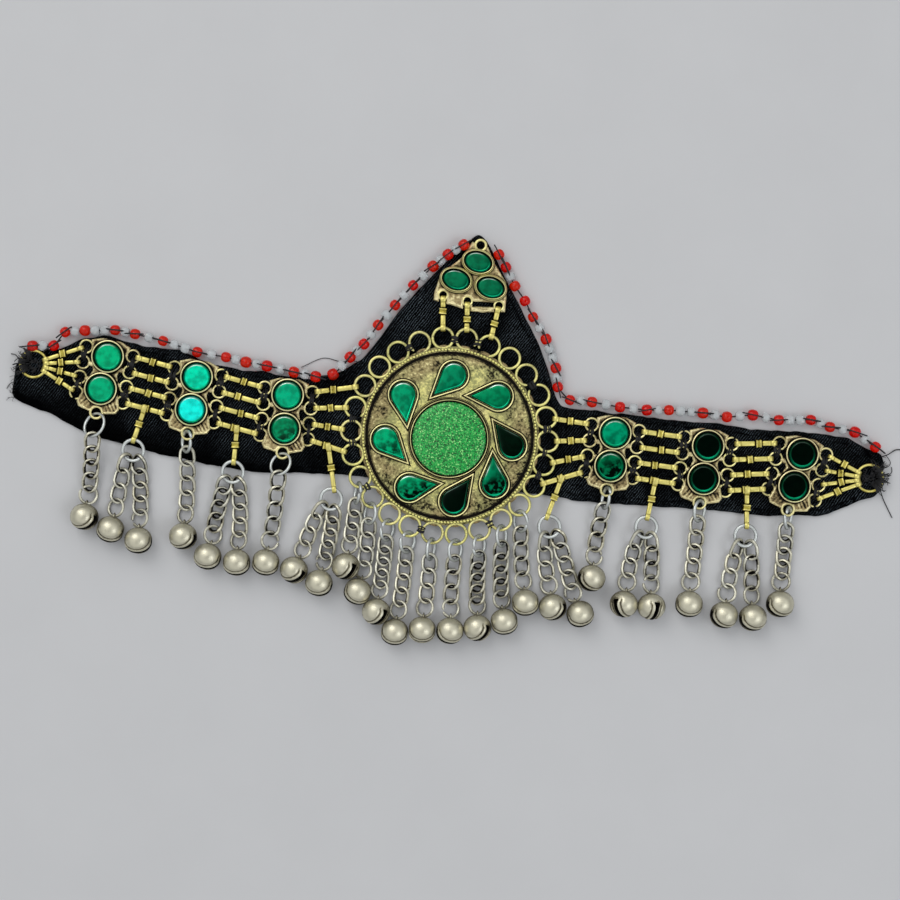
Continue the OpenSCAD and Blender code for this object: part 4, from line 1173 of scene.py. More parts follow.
def oval_moulding(profile):
    """The profile round the oval stone, square to its edge."""
    circle = circle_outline(1, 72)
    edge, out = circle * [OVAL_A, OVAL_B], circle * [OVAL_B, OVAL_A]
    out /= np.linalg.norm(out, axis=1)[:, None]
    return stacked([edge + out * offset for offset, _, _ in profile], profile)


def peak_relief(x, y, edge):
    """Grain, a worn border, and dark patina with painted shade round the oval cups."""
    grain = cast_grain(x, y, 141)
    reach = [np.hypot((x - cx) / (OVAL_A + 1.2), (y - cy) / (OVAL_B + 1.2)) for cx, cy, _ in OVALS]
    near = np.exp(-np.clip(np.min(reach, 0) - 1, 0, 9) / 0.1)
    border = np.exp(-((edge - 0.5) / 0.35) ** 2)
    return 0.06 * grain + 0.12 * border - 0.1 * near, 0.3 - 0.45 * grain - 0.5 * border + 0.9 * near


def peak_parts():
    """The plate and its strip, the eye, the loops along the base and the oval cups."""
    holes = [(*PEAK_EYE, PEAK_EYE_R)] + [(x, y, PEAK_LOOP_R - 0.2) for x, y in PEAK_LOOPS]
    parts = [cast_plate(PEAK_PLATE, PLATE_LOW, PLATE_TOP, peak_relief, holes)]
    parts.append(cast_plate(PEAK_STRIP, LOOP_Z - 0.4, LOOP_Z + 0.4, peak_relief))
    eye = ring(PEAK_EYE_R + 0.35, 0.5, None, 36, 10, age_and_shade=-0.4, tone=0.5)
    parts.append(placed(eye, None, (*PEAK_EYE, LOOP_Z + 0.6)))
    loop = ring(PEAK_LOOP_R, LOOP_WIRE_R, None, 32, 8, age_and_shade=-0.3, tone=0.5)
    parts += [placed(loop, None, (x, y, LOOP_Z + 0.25)) for x, y in PEAK_LOOPS]
    moulded = oval_moulding(OVAL_CUP)
    floor = lathe([(0, SEAT_LOW, 0.8), (1, SEAT_LOW, 0.8), (1, 3.94, 1.2), (0, 3.94, 1.2)], 40)
    for x, y, angle in OVALS:
        parts.append(placed(moulded, turn("z", angle), (x, y, 0), tone=0.5))
        matrix = turn("z", angle) @ np.diag([OVAL_A + 0.1, OVAL_B + 0.1, 1])
        parts.append(placed(floor, matrix, (x, y, 0)))
    return parts


piece("peak_plaque_cast", peak_parts(), antique_brass, ["peak_plaque"])


# Bars: rods of rolled brass strip with square ends that are bent round the loops, and a
# square collar near the middle. The lowest of a gap carries a hanger, lapped over it.
BAR_W = 0.92        # half the width of the rolled strip
END_BAR_W = 0.72    # and of the strips that run to the end rings
BAR_H = 0.86        # half its height
COLLAR = 1.38       # half the width of a collar
COLLAR_L = 2.2
EYE_R = 1.2
EYE_STEPS = 30
EYE_SECTION = [
    # radius, place across the strip as a share of its half width
    (1.34, -1), (1.46, -0.75), (1.46, 0.75), (1.34, 1), (0.86, 1), (0.82, 0.7), (0.82, -0.7), (0.86, -1),
]
HANGER_LAP = [
    # place along the hanger, width, height above the bar, tarnish
    (-1.25, 0.9, 1.2, 0.2), (-1.1, 1.0, 1.35, -0.1), (0, 1.0, 1.42, -0.35), (1.1, 1.0, 1.3, -0.2),
    (1.9, 0.95, 0.55, 0.2), (2.6, 0.95, 0.12, 0),
]
END_RING_R = 4.9
END_WIRE_R = 0.5
END_RINGS = [(-155.9, 5), (155.9, 6.2)]
END_ANGLES = [[27.5, 10, -8, -26], [161, 180, 198, 216]]    # where the bars hold the end rings
LEFT_LOOPS = [157.2, 171.1, 184.9, 198.8]
RIGHT_LOOPS = [18.8, 4.9, -8.9, -22.8]
PEAK_LOOP_ANGLES = [101.8, 88, 74.2]
GAPS = [
    # name of the gap, then what holds the bars' left ends and their right ends: a plaque's number,
    # an end ring or the medallion
    ("left_end", "end_ring", 0), ("left_outer", 0, 1), ("left_inner", 1, 2),
    ("left_medal", 2, "medallion"), ("right_medal", "medallion", 3),
    ("right_inner", 3, 4), ("right_outer", 4, 5), ("right_end", 5, "end_ring"),
]
PAIRS = [
    # foot of the hanger, then for the left and the right drop: bell on X and Y, links, slot turn,
    # sway and swing
    [(-115.3, -17.6), (-119, -51.5, 3, -10, -0.3, 0), (-108.2, -54.1, 4, 0, 0.5, 0)],
    [(-77.6, -20.4), (-82.1, -56.4, 4, 5, -0.5, 0), (-71.2, -57.1, 4, 0, 0.9, 0)],
    [(-39.5, -25.4), (-49.9, -56.9, 3, 40, -0.6, 0), (-40.1, -60.4, 4, 10, 0.4, 0)],
    [(39.9, -24.4), (46.4, -57.2, 3, 30, -0.9, 0), (56.8, -58.3, 4, -10, 0.2, 4)],
    [(76.6, -19.4), (72.2, -52.4, 3, -45, -0.8, 0), (82.4, -51.9, 3, 70, 0.4, 0)],
    [(113.3, -17.4), (109.3, -51.3, 3, -15, -0.4, 0), (120, -50.8, 3, -15, 0.4, 0)],
]
bar_brass = metal_material("bar_brass", linear(232, 220, 130), linear(180, 165, 70), linear(40, 32, 8), 0.1)


def loft(sections, ages=0.0):
    """Joins closed sections of points end to end and closes both ends."""
    sections = np.asarray(sections, float)
    rows, cols = sections.shape[:2]
    n = rows * cols
    points = np.concatenate([sections.reshape(-1, 3), sections[0].mean(0)[None], sections[-1].mean(0)[None]])
    faces = [grid_faces(rows, cols, True), fan(n, 0, cols, True), fan(n + 1, n - cols, cols)]
    return part(points, faces, np.concatenate([np.repeat(ages, cols), [ages[0], ages[-1]]]))


def square_section(x, half_w, half_h, corner, z=0.0):
    """A rounded rectangle across X."""
    run = []
    for cx, cy, start in ((1, 1, 0), (-1, 1, 90), (-1, -1, 180), (1, -1, 270)):
        for a in np.radians([start, start + 45, start + 90]):
            y = cx * (half_w - corner) + corner * math.cos(a)
            run.append((x, y, z + cy * (half_h - corner) + corner * math.sin(a)))
    return run


def strip_rod(start, end, collar_at, half_w):
    """The rod: slightly flattened, and necked on both sides of its collar."""
    half = COLLAR_L / 2
    rows = [
        (start, 0.96, 0.1), (start + 0.25, 1.0, -0.25), (collar_at - half - 0.7, 1.0, -0.15),
        # Painted shade with dark patina in the necks beside the collar
        (collar_at - half - 0.15, 0.8, 0.9), (collar_at, 0.8, 0.9), (collar_at + half + 0.15, 0.8, 0.9),
        (collar_at + half + 0.7, 1.0, -0.15), (end - 0.25, 1.0, -0.25), (end, 0.96, 0.1),
    ]
    sections = [square_section(x, half_w * w, BAR_H * w, 0.4 * w) for x, w, _ in rows]
    return loft(sections, [age_and_shade for *_, age_and_shade in rows])


def collar_part(size):
    """The square collar, with a shallow waist between its two edges."""
    half = COLLAR_L / 2 * size
    near = [(half, 0.84, 0.35), (half - 0.18, 1.0, -0.2), (half - 0.5, 1.0, -0.1), (half - 0.62, 0.93, 0.3)]
    rows = [(-x, w, age_and_shade) for x, w, age_and_shade in near] + near[::-1]
    sections = [square_section(x, COLLAR * w, COLLAR * w * 0.96, 0.22) for x, w, _ in rows]
    return loft(sections, [age_and_shade for *_, age_and_shade in rows])


def strip_eye(half_w):
    """The strip's end bent into a ring round the wire, with square edges."""
    points = []
    for a in np.arange(EYE_STEPS) * 2 * math.pi / EYE_STEPS:
        points += [(r * math.cos(a), w * half_w, r * math.sin(a)) for r, w in EYE_SECTION]
    # Painted shade: the eye is darker below and lighter on top
    age_and_shade = [min(max(-z * 0.5, -0.3), 0.8) for _, _, z in points]
    return part(points, [grid_faces(EYE_STEPS, len(EYE_SECTION), True, True)], age_and_shade)


def aimed(p, start, end, roll=0.0, age_and_shade=0.0, tone=None):
    """Places a part that lies along X between two points, rolled about that line."""
    start, end = np.asarray(start, float), np.asarray(end, float)
    d = end - start
    climb = math.degrees(math.atan2(d[2], math.hypot(d[0], d[1])))
    matrix = turn("z", bearing(d)) @ turn("y", -climb) @ turn("x", roll)
    return placed(p, matrix, (start + end) / 2, age_and_shade, tone)


def bar_parts(a, b, rng, half_w=BAR_W):
    """One bar between two points: the rod, its collar, and the eyes at its ends."""
    a, b = np.append(a, LOOP_Z), np.append(b, LOOP_Z)
    length = np.linalg.norm(b - a)
    shift = rng.uniform(-0.1, 0.1) * length
    parts = [strip_rod(-length / 2 + EYE_R - 0.35, length / 2 - EYE_R + 0.35, shift, half_w)]
    collar = collar_part(rng.uniform(0.92, 1.05))
    twist = turn("z", rng.uniform(-7, 7)) @ turn("x", rng.uniform(-9, 9))
    parts.append(placed(collar, twist, (shift, 0, 0), age_and_shade=rng.uniform(-0.1, 0.15)))
    parts += [placed(strip_eye(half_w * 0.98), None, (x, 0, 0)) for x in (-length / 2, length / 2)]
    return [aimed(q, a, b, age_and_shade=rng.uniform(-0.08, 0.12)) for q in parts]


def hanger_parts(top, foot, rng):
    """The strip that laps over the lowest bar and hangs down to a jump ring."""
    top, foot = np.append(top, LOOP_Z), np.append(foot, LOOP_Z)
    half = np.linalg.norm(foot - top) / 2
    sections = [square_section(-half + x, BAR_W * w, 0.42, 0.18, z) for x, w, z, _ in HANGER_LAP]
    parts = [loft(sections, [age_and_shade for *_, age_and_shade in HANGER_LAP])]
    parts.append(strip_rod(-half + 0.9, half - EYE_R + 0.35, 0, BAR_W * 0.92))
    parts.append(placed(collar_part(1.05), turn("z", rng.uniform(-8, 8))))
    parts.append(placed(strip_eye(BAR_W * 0.85), None, (half, 0, 0)))
    return [aimed(q, top, foot) for q in parts]


def on_circle(radius, angle):
    """The place at this radius and angle about the origin."""
    return np.array([radius * math.cos(math.radians(angle)), radius * math.sin(math.radians(angle))])


def turned(v, degrees):
    """A direction or place in the XY plane, turned about the origin."""
    return (turn("z", degrees) @ np.append(v, 0))[:2]


def side_loop(p, side, k):
    """Middle of a plaque's side loop."""
    x, y, angle, _ = PLAQUES[p]
    return np.array([x, y]) + turned([side * SIDE_LOOP_X, SIDE_LOOP_Y[k]], angle)


def unit(v):
    """The vector at length 1."""
    return np.asarray(v, float) / np.linalg.norm(v)


def held_loop(holder, side, k):
    """Middle and radius of the loop on this side of a holder that takes bar k."""
    if holder == "end_ring":
        return np.array(END_RINGS[0 if side > 0 else 1]), END_RING_R
    if holder == "medallion":
        return on_circle(MEDAL_RING_R, (RIGHT_LOOPS if side > 0 else LEFT_LOOPS)[k]), MEDAL_LOOP_R
    return side_loop(holder, side, k), SIDE_LOOP_R


def gap_ends(left, right, k):
    """Where bar k holds the loops that it joins; on an end ring the four bars are spread out."""
    (a, ra), (b, rb) = held_loop(left, 1, k), held_loop(right, -1, k)
    start, finish = a + ra * unit(b - a), b + rb * unit(a - b)
    if left == "end_ring":
        start = a + on_circle(END_RING_R, END_ANGLES[0][k])
    if right == "end_ring":
        finish = b + on_circle(END_RING_R, END_ANGLES[1][k])
    return start, finish


for g, (gap_name, left, right) in enumerate(GAPS):
    rng = random.Random(40 + g)
    parts = []
    at_end = "end_ring" in (left, right)
    for k in range(4):
        start, finish = gap_ends(left, right, k)
        parts += bar_parts(start, finish, rng, END_BAR_W if at_end else BAR_W)
    if not at_end:
        parts += hanger_parts((start + finish) / 2, PAIRS[g - 1][0], rng)
    piece(f"bars_{gap_name}_rolled", parts, bar_brass, [f"bars_{gap_name}"])

rng = random.Random(55)
parts = []
for angle, loop in zip(PEAK_LOOP_ANGLES, PEAK_LOOPS):
    low, high = on_circle(MEDAL_RING_R, angle), np.array(loop)
    parts += bar_parts(high + PEAK_LOOP_R * unit(low - high), low + MEDAL_LOOP_R * unit(high - low), rng)
piece("bars_peak_rolled", parts, bar_brass, ["bars_peak"])


# End rings: one plain brass ring at each end of the band, where a tie is fastened.
for (x, y), side in zip(END_RINGS, ("left", "right")):
    wire = ring(END_RING_R, END_WIRE_R, None, 60, 12)
    wire["age_and_shade"] = 0.3 * value_noise(wire["points"][:, 0], wire["points"][:, 1], 2.5, 77) - 0.05
    wire = placed(wire, None, (x, y, LOOP_Z))
    piece(f"end_ring_{side}_wire", [wire], bar_brass, [f"end_ring_{side}"])


# Stitching: the castings are sewn down with black thread, laid over the wires of
# neighbouring loops, and the end rings are bound to the cloth by a tangle of it.
STITCH_R = 0.26
OVER_LOOPS = 4.02   # height of a stitch that lies over a loop's wire
STITCHES_PER_BINDING = 6
# Angles between two loops of the medallion that are bound to each other
LOOP_BINDINGS = [178, 191.9, -15.9, -2, 11.9, 94.9, 81.1, 39.5, 122.6, -140.4, -98.9, -57.4]
END_TANGLES = [
    # middle of an end ring, direction of the cloth's end, spread of its stitches, direction of its ends
    (END_RINGS[0], 172, 60, 170), (END_RINGS[1], 8, 62, 12),
]
RING_STITCHES = 34
TANGLED_STITCHES = 30
LOOSE_ENDS = 26


def strand(a, b, top, rng, bulge=0.45):
    """A stitch out of the cloth at a, over a wire, and back into the cloth at b."""
    a, b = np.asarray(a, float), np.asarray(b, float)
    side = np.array([-(b - a)[1], (b - a)[0]]) / max(np.linalg.norm(b - a), 1e-6) * rng.uniform(-bulge, bulge)
    lift = rng.uniform(0, 0.3)
    path = []
    stops = [(0, CLOTH_T), (0.22, top * 0.78), (0.4, top + lift)]
    stops += [(0.6, top + lift), (0.78, top * 0.78), (1, CLOTH_T)]
    for f, z in stops:
        path.append((*(a + (b - a) * f + side * math.sin(math.pi * f)), z))
    return tube(curve_through(path, 5), STITCH_R * rng.uniform(0.8, 1.15), 6)


def binding(middle, along, rng):
    """A turn of thread round the wires of two loops that stand side by side."""
    reach, low, high = rng.uniform(1.0, 1.4), LOOP_Z - 0.85, LOOP_Z + rng.uniform(0.8, 1.05)
    across = np.array([-along[1], along[0]])
    t = np.arange(14) * 2 * math.pi / 14
    skew = rng.uniform(-0.5, 0.5)
    flat = middle + reach * np.cos(t)[:, None] * along + (skew * np.sin(t))[:, None] * across
    path = np.c_[flat, (low + high) / 2 + (high - low) / 2 * np.sin(t)]
    return tube(path, STITCH_R * rng.uniform(0.85, 1.2), 6, True)


stitches = []
rng = random.Random(71)
for p in range(len(PLAQUES)):
    for side, first in ((-1, 0), (-1, 2), (1, 0), (1, 2)):
        upper, lower = side_loop(p, side, first), side_loop(p, side, first + 1)
        down = unit(lower - upper)
        across = np.array([-down[1], down[0]])
        for _ in range(rng.randint(6, 8)):
            shift = rng.uniform(-1.1, 1.1)
            a = upper + down * rng.uniform(0.4, 1.3) + across * (shift + rng.uniform(-0.4, 0.4))
            b = lower - down * rng.uniform(0.4, 1.3) + across * (shift + rng.uniform(-0.4, 0.4))
            stitches.append(strand(a, b, OVER_LOOPS, rng))
for angle in LOOP_BINDINGS:
    for _ in range(STITCHES_PER_BINDING):
        middle = on_circle(MEDAL_RING_R * 0.993 + rng.uniform(-1.1, 1.1), angle)
        stitches.append(binding(middle, on_circle(1, angle + 90 + rng.uniform(-12, 12)), rng))
for middle, out, spread, _ in END_TANGLES:
    for k in range(RING_STITCHES):
        angle = out + spread * (2 * (k + rng.random()) / RING_STITCHES - 1)
        a = middle + on_circle(rng.uniform(2.6, 3.8), angle + rng.uniform(-14, 14))
        b = middle + on_circle(rng.uniform(5.6, 6.2), angle)
        stitches.append(strand(a, b, OVER_LOOPS, rng, 0.2))
    for _ in range(TANGLED_STITCHES):
        a = on_circle(rng.uniform(0.5, 4.0), rng.uniform(0, 360))
        b = a + on_circle(rng.uniform(1.2, 3.0), rng.uniform(0, 360))
        b = b * min(1, 4.1 / max(np.linalg.norm(b), 1e-6))
        stitches.append(strand(middle + a, middle + b, rng.uniform(1.8, 2.6), rng))
for middle, _, _, out in END_TANGLES:
    for _ in range(LOOSE_ENDS):
        angle = out + rng.uniform(-65, 65)
        start = middle + on_circle(rng.uniform(3, 5), angle)
        end = middle + on_circle(rng.uniform(6.6, 8.8), angle + rng.uniform(-22, 22))
        bend = (start + end) / 2 + on_circle(rng.uniform(0, 0.9), rng.uniform(0, 360))
        path = [(*start, 3.9), (*bend, rng.uniform(3.2, 4.4)), (*end, rng.uniform(0.6, 3.0))]
        stitches.append(tube(curve_through(path, 6), rng.uniform(0.1, 0.2), 5))
piece("sewn_stitches", stitches, black_thread)


# Drops: twenty-seven chains of nickel-plated steel. Each hangs by a jump ring, has three
# or four twisted curb links, and a ring that carries a small slotted bell.
LINK_L = 7.0
LINK_HALF_W = 2.5
WIRE_R = 0.475      # as built; the finished wire is a little fuller
LINK_WIRE_R = 0.64
FLOOR_GAP = 0.05
BELL_RING_R = 3.25
BELL_RING_WIRE = 0.54
BELL_SIZE = 1.04    # finished bells touch their neighbours
BELL_CLEAR = 0.03
BELL_ARC_OFF = 0.5
BELL_ARC_R = 4.5
BELL_R = BELL_ARC_R + BELL_ARC_OFF
BELL_WALL = 0.5
BELL_PITCH = 25
BELL_EYE_X = math.sqrt(BELL_ARC_R ** 2 - BELL_ARC_OFF ** 2) + 0.85
BELL_Z = BELL_ARC_R + BELL_ARC_OFF * math.cos(math.radians(BELL_PITCH)) + FLOOR_GAP
BELL_EYE_Z = BELL_Z - BELL_EYE_X * math.sin(math.radians(BELL_PITCH))
SLOT_EDGE = 7.5     # half the slot's width, seen from the bell's middle, in degrees
BELL_LATITUDES = np.array([0, 1.6, 4.2, 7.4, 11, 14.4, 17.5, 21, 26, 33, 42, 53, 65, 78])    # from the lip
BELL_STEP = 7.5     # degrees between the points round a bell
FLAT_IN = 2.1
FLAT_WIRE_R = 0.54
FLAT_NEAR_Z = 3.0
FLAT_FAR_Z = 6.2
FLAT_HOOK = 1.6
FLAT_ROLL = 30
UPRIGHT_R = 3.8
UPRIGHT_HOOK = 1.5
UPRIGHT_DROP = 1.7
UPRIGHT_REACH = math.sqrt(UPRIGHT_R ** 2 - UPRIGHT_DROP ** 2)
FOOT_FORWARD = 0.8      # how far a plaque's upright jump ring stands from the foot loop
MEDAL_FORWARD = 2.2     # and a jump ring of the medallion from its loop
PAIR_RING_R = 3.9
PAIR_SPREAD = 36
PAIR_HOOK = 1.65
PAIR_ROLL = 52
PAIR_FAR_Z = 2.9
LINK_ROLL = 27
LINK_Z = LINK_HALF_W * math.sin(math.radians(LINK_ROLL)) + WIRE_R + FLOOR_GAP
FOOT_DROPS = [
    # plaque, bell on X and Y, links, slot turn, radius of a flat jump ring or 0, sway, swing
    (0, -129.1, -48.2, 4, 25, 4.5, 0.2, 0), (1, -92.1, -50.3, 4, 20, 0, 0.5, 0),
    (2, -60.6, -55.6, 4, -5, 4.2, 0.3, 0), (3, 59.1, -44.6, 3, -20, 0, -0.5, 0),
    (4, 96, -49.1, 4, 0, 0, 0.4, 0), (5, 129.2, -44.4, 4, -15, 0, 0.4, 0),
]
MEDAL_DROPS = [
    # angle of the loop, bell on X and Y, links, slot turn, sway, swing
    (-147.4, -31.2, -52.9, 3, 50, 0.1, 0), (-133.5, -25.6, -61.5, 3, -10, 0.5, -8),
    (-119.7, -17.8, -67.9, 4, 45, 0.3, 0), (-105.8, -10, -74.4, 4, 0, 0.5, 0),
    (-91.9, -0.1, -72.2, 3, 180, 0.3, 0), (-78.1, 10.1, -71.1, 3, -15, -0.5, 0),
    (-64.3, 20, -68.6, 4, 40, -0.4, 0), (-50.4, 29.5, -65, 4, 0, -0.5, 6), (-36.6, 36.2, -57, 3, 0, -0.5, 0),
]
nickel_steel = metal_material(
    "nickel_steel", linear(215, 211, 189), linear(140, 134, 112), linear(16, 13, 9), 0.0,
    (linear(214, 219, 217), linear(150, 156, 155)))


@lru_cache(maxsize=None)
def curb_link(near_roll, far_roll):
    """An oval link, twisted so that its two ends lie at these rolls, with painted shade on its inner side."""
    straight = LINK_L / 2 - LINK_HALF_W
    t = np.linspace(-math.pi / 2, math.pi / 2, 17)
    half = np.c_[straight + LINK_HALF_W * np.cos(t), LINK_HALF_W * np.sin(t)]
    side = np.c_[np.linspace(straight, -straight, 7)[1:-1], np.full(5, LINK_HALF_W)]
    flat = np.concatenate([half, side, -half, -side])
    roll = np.radians(near_roll + (far_roll - near_roll) * (flat[:, 0] + LINK_L / 2) / LINK_L)
    link = tube(np.c_[flat[:, 0], flat[:, 1] * np.cos(roll), flat[:, 1] * np.sin(roll)], LINK_WIRE_R, 9, True)
    p = link["points"]
    out = np.hypot(np.maximum(np.abs(p[:, 0]) - straight, 0), np.hypot(p[:, 1], p[:, 2]))
    inner = out < LINK_HALF_W - 0.05
    # Painted shade on the inner side, deepest at the ends where the links meet
    link["age_and_shade"] = 1.0 * inner + 0.4 * (np.abs(p[:, 0]) > 2.2) * inner - 0.12
    return link


def bell_part():
    """A pressed bell: two cheeks with turned lips that leave a slot over its front half."""
    longitudes = np.arange(-180, 180, BELL_STEP)
    cols, rows = len(longitudes), 2 * len(BELL_LATITUDES)
    widening = 5.5 * np.exp(-((np.abs(longitudes) - 86) / 9) ** 2)
    upper = BELL_LATITUDES[:, None]
    upper = SLOT_EDGE + widening[None, :] * np.exp(-upper / 12) + upper
    degrees = np.concatenate([-upper[::-1], upper])
    lat, lon = np.radians(degrees), np.radians(longitudes)[None, :]
    direction = np.stack([np.cos(lat) * np.cos(lon), np.cos(lat) * np.sin(lon), np.sin(lat) + 0 * lon], -1)
    side = np.sqrt(np.clip(1 - direction[..., 0] ** 2, 0, 1))
    reach = (side + np.sqrt(side ** 2 + 4 * (BELL_ARC_R ** 2 - BELL_ARC_OFF ** 2))) / 2
    from_slot = (np.abs(degrees) - SLOT_EDGE - widening[None, :]) * math.pi / 180 * 4.8
    front = np.clip((np.cos(lon) + 0.25) / 0.5, 0, 1) + 0 * lat
    crease = np.exp(-((from_slot - 1.15) / 0.36) ** 2) * front
    cheek = np.exp(-((np.abs(longitudes)[None, :] - 88) / 17) ** 2 - (degrees / 20) ** 2)
    lip = np.exp(-(from_slot / 0.45) ** 2) * front
    lower_lip_shade = np.exp(-(from_slot / 0.28) ** 2) * front * (lat < 0)
    reach = reach - 0.3 * crease - 0.28 * cheek + 0.02 * lip
    # Painted shade: darker in the crease, on the cheeks and along the lower lip under the slot
    age_and_shade = (1.1 * crease + 0.4 * cheek - 0.15 * lip + 1.7 * lower_lip_shade).ravel() - 0.1
    keep = np.ones((rows - 1, cols), bool)
    keep[rows // 2 - 1, np.abs(longitudes + BELL_STEP / 2) < 90] = False
    faces = grid_faces(rows, cols, True)[keep.ravel()]
    poles = rows * cols
    points = (direction * reach[..., None]).reshape(-1, 3)
    points = np.concatenate([points, [(0, 0, -BELL_R), (0, 0, BELL_R)]])
    outer = [faces, fan(poles, 0, cols, True), fan(poles + 1, poles - cols, cols)]
    total = len(points)
    inner = points * (1 - BELL_WALL / np.linalg.norm(points, axis=1))[:, None]
    rim = open_edges(outer)
    rim = np.stack([rim[:, 1], rim[:, 0], rim[:, 0] + total, rim[:, 1] + total], -1)
    faces = outer + [group[:, ::-1] + total for group in outer] + [rim]
    # Painted shade inside the shell
    ages = np.concatenate([age_and_shade, [0, 0], np.full(total, 1.3)])
    shell = part(np.concatenate([points, inner]), faces, ages)
    eye = placed(ring(1.05, 0.3, None, 20, 8, age_and_shade=0.2), turn("x", 90), (-BELL_EYE_X, 0, 0))
    return shell, eye


bell_shell, bell_eye = bell_part()


def clamp01(v):
    """The value, held between 0 and 1."""
    return max(0.0, min(1.0, v))


def chain_point(a, e, s, z1, level, sway):
    """A point of the chain's middle line, s from its start: down to the surface, up to the bell."""
    total = np.linalg.norm(e - a)
    u = (e - a) / total
    flat = a + u * s + sway * math.sin(math.pi * clamp01(s / total)) * np.array([-u[1], u[0]])
    fall = 4 * max(1, z1 - LINK_Z)
    down = z1 - (z1 - LINK_Z) * clamp01((s - level) / fall)
    up = clamp01((s - total + 2 * BELL_RING_R) / (2 * BELL_RING_R))
    return np.array([flat[0], flat[1], down + (BELL_EYE_Z - LINK_Z) * up])


def drop_parts(a, row, z1, level, lean, first_roll, first_hook, rng):
    """Links, ring and bell below a jump ring whose lowest point is a, at height z1. The row holds
    the bell's place, links, slot turn, sway and swing; the first link hooks over the jump ring."""
    *centre, links, slot, sway, swing = row
    a, centre = np.asarray(a, float), np.asarray(centre, float)
    heading = turned(unit(centre - a), swing)
    e = centre - BELL_EYE_X * math.cos(math.radians(BELL_PITCH)) * heading
    total = np.linalg.norm(e - a)
    overlap = (links * LINK_L + 2 * BELL_RING_R - first_hook - total) / links
    hand = lean * (-1) ** (links - 1)
    middle_line = lambda s: chain_point(a, e, s, z1, level, sway)
    parts = []
    for k in range(links):
        s = -first_hook + k * (LINK_L - overlap)
        roll = lean * (first_roll if k == 0 else (-1) ** k * LINK_ROLL)
        near, far = middle_line(s), middle_line(s + LINK_L)
        slope = (near[2] - far[2]) / LINK_L
        dip = LINK_HALF_W * math.hypot(math.sin(math.radians(roll)), slope)
        depth = (LINK_L / 2 - LINK_HALF_W) * abs(slope) + dip
        up = np.array([0, 0, max(0, depth + LINK_WIRE_R + FLOOR_GAP - (near[2] + far[2]) / 2)])
        link = curb_link(roll if k == 0 and first_roll > LINK_ROLL else -hand * LINK_ROLL, hand * LINK_ROLL)
        age_and_shade, tone = rng.uniform(-0.32, 0.1), rng.uniform(0, 0.35)
        parts.append(aimed(link, near + up, far + up, 0, age_and_shade, tone))
    gap = None
    if rng.random() < 0.45:
        gap = (rng.uniform(-40, 40) + rng.choice([90, -90]), rng.uniform(6, 18))
    carrier = ring(BELL_RING_R, BELL_RING_WIRE, gap, 40, 9)
    lift = np.array([0, 0, FLOOR_GAP])
    near, far = middle_line(total - 2 * BELL_RING_R) + lift, middle_line(total) + lift
    parts.append(aimed(carrier, near, far, lean * (-1) ** links * LINK_ROLL, rng.uniform(-0.1, 0.15), 0.2))
    course = turn("z", bearing(heading)) @ turn("y", -BELL_PITCH)
    at = (*centre, BELL_Z + BELL_R * (BELL_SIZE - 1) + BELL_CLEAR)
    matrix = course @ turn("x", slot) @ (np.eye(3) * BELL_SIZE)
    parts.append(placed(bell_shell, matrix, at, rng.uniform(-0.3, -0.15), 0.0))
    parts.append(placed(bell_eye, course, at))
    return parts


def upright_ring(h, u, forward, z, rng):
    """A jump ring that hangs in the loop at h and leans over to one side."""
    roll = rng.choice([-1, 1]) * rng.uniform(14, 40)
    lean = UPRIGHT_R * (1 - math.cos(math.radians(roll)))
    at = np.append(np.asarray(h) + u * forward, z - lean + LINK_WIRE_R - WIRE_R)
    gap = (rng.uniform(60, 120), 8) if rng.random() < 0.5 else None
    wire = ring(UPRIGHT_R, LINK_WIRE_R, gap, 44, 10, age_and_shade=-0.15, tone=1.0)
    return placed(wire, turn("z", bearing(u)) @ turn("x", 90 + roll), at)


def steel_piece(name, parts, stands_for):
    """Joins the parts of a drop into one piece of nickel-plated steel."""
    piece(name, parts, nickel_steel, [stands_for])


for d, (p, bx, by, links, slot, flat_r, sway, swing) in enumerate(FOOT_DROPS):
    rng = random.Random(200 + d)
    row = (bx, by, links, slot, sway, swing)
    x, y, angle, _ = PLAQUES[p]
    foot = np.array([x, y]) + turned([0, FOOT_Y], angle)
    u = unit(np.array([bx, by]) - foot)
    h = foot + FOOT_R * u
    if flat_r > 0:
        start = h + (2 * flat_r - FLAT_IN) * u
        jump = ring(flat_r, FLAT_WIRE_R, None, 48, 10, age_and_shade=-0.25, tone=1.0)
        near, far = np.append(h - FLAT_IN * u, FLAT_NEAR_Z), np.append(start, FLAT_FAR_Z)
        parts = [aimed(jump, near, far, FLAT_ROLL)]
        parts += drop_parts(start, row, FLAT_FAR_Z, 0, -1, LINK_ROLL, FLAT_HOOK, rng)
    else:
        stand_z = CLOTH_T + 0.1 + UPRIGHT_R + WIRE_R
        start = h + (FOOT_FORWARD + UPRIGHT_REACH) * u
        level = 3 if x < -90 else 0
        parts = [upright_ring(h, u, FOOT_FORWARD, stand_z, rng)]
        parts += drop_parts(start, row, stand_z - UPRIGHT_DROP, level, 1, LINK_ROLL, UPRIGHT_HOOK, rng)
    steel_piece(f"bell_drop_{d + 1}_chain", parts, f"bell_drop_{d + 1}")

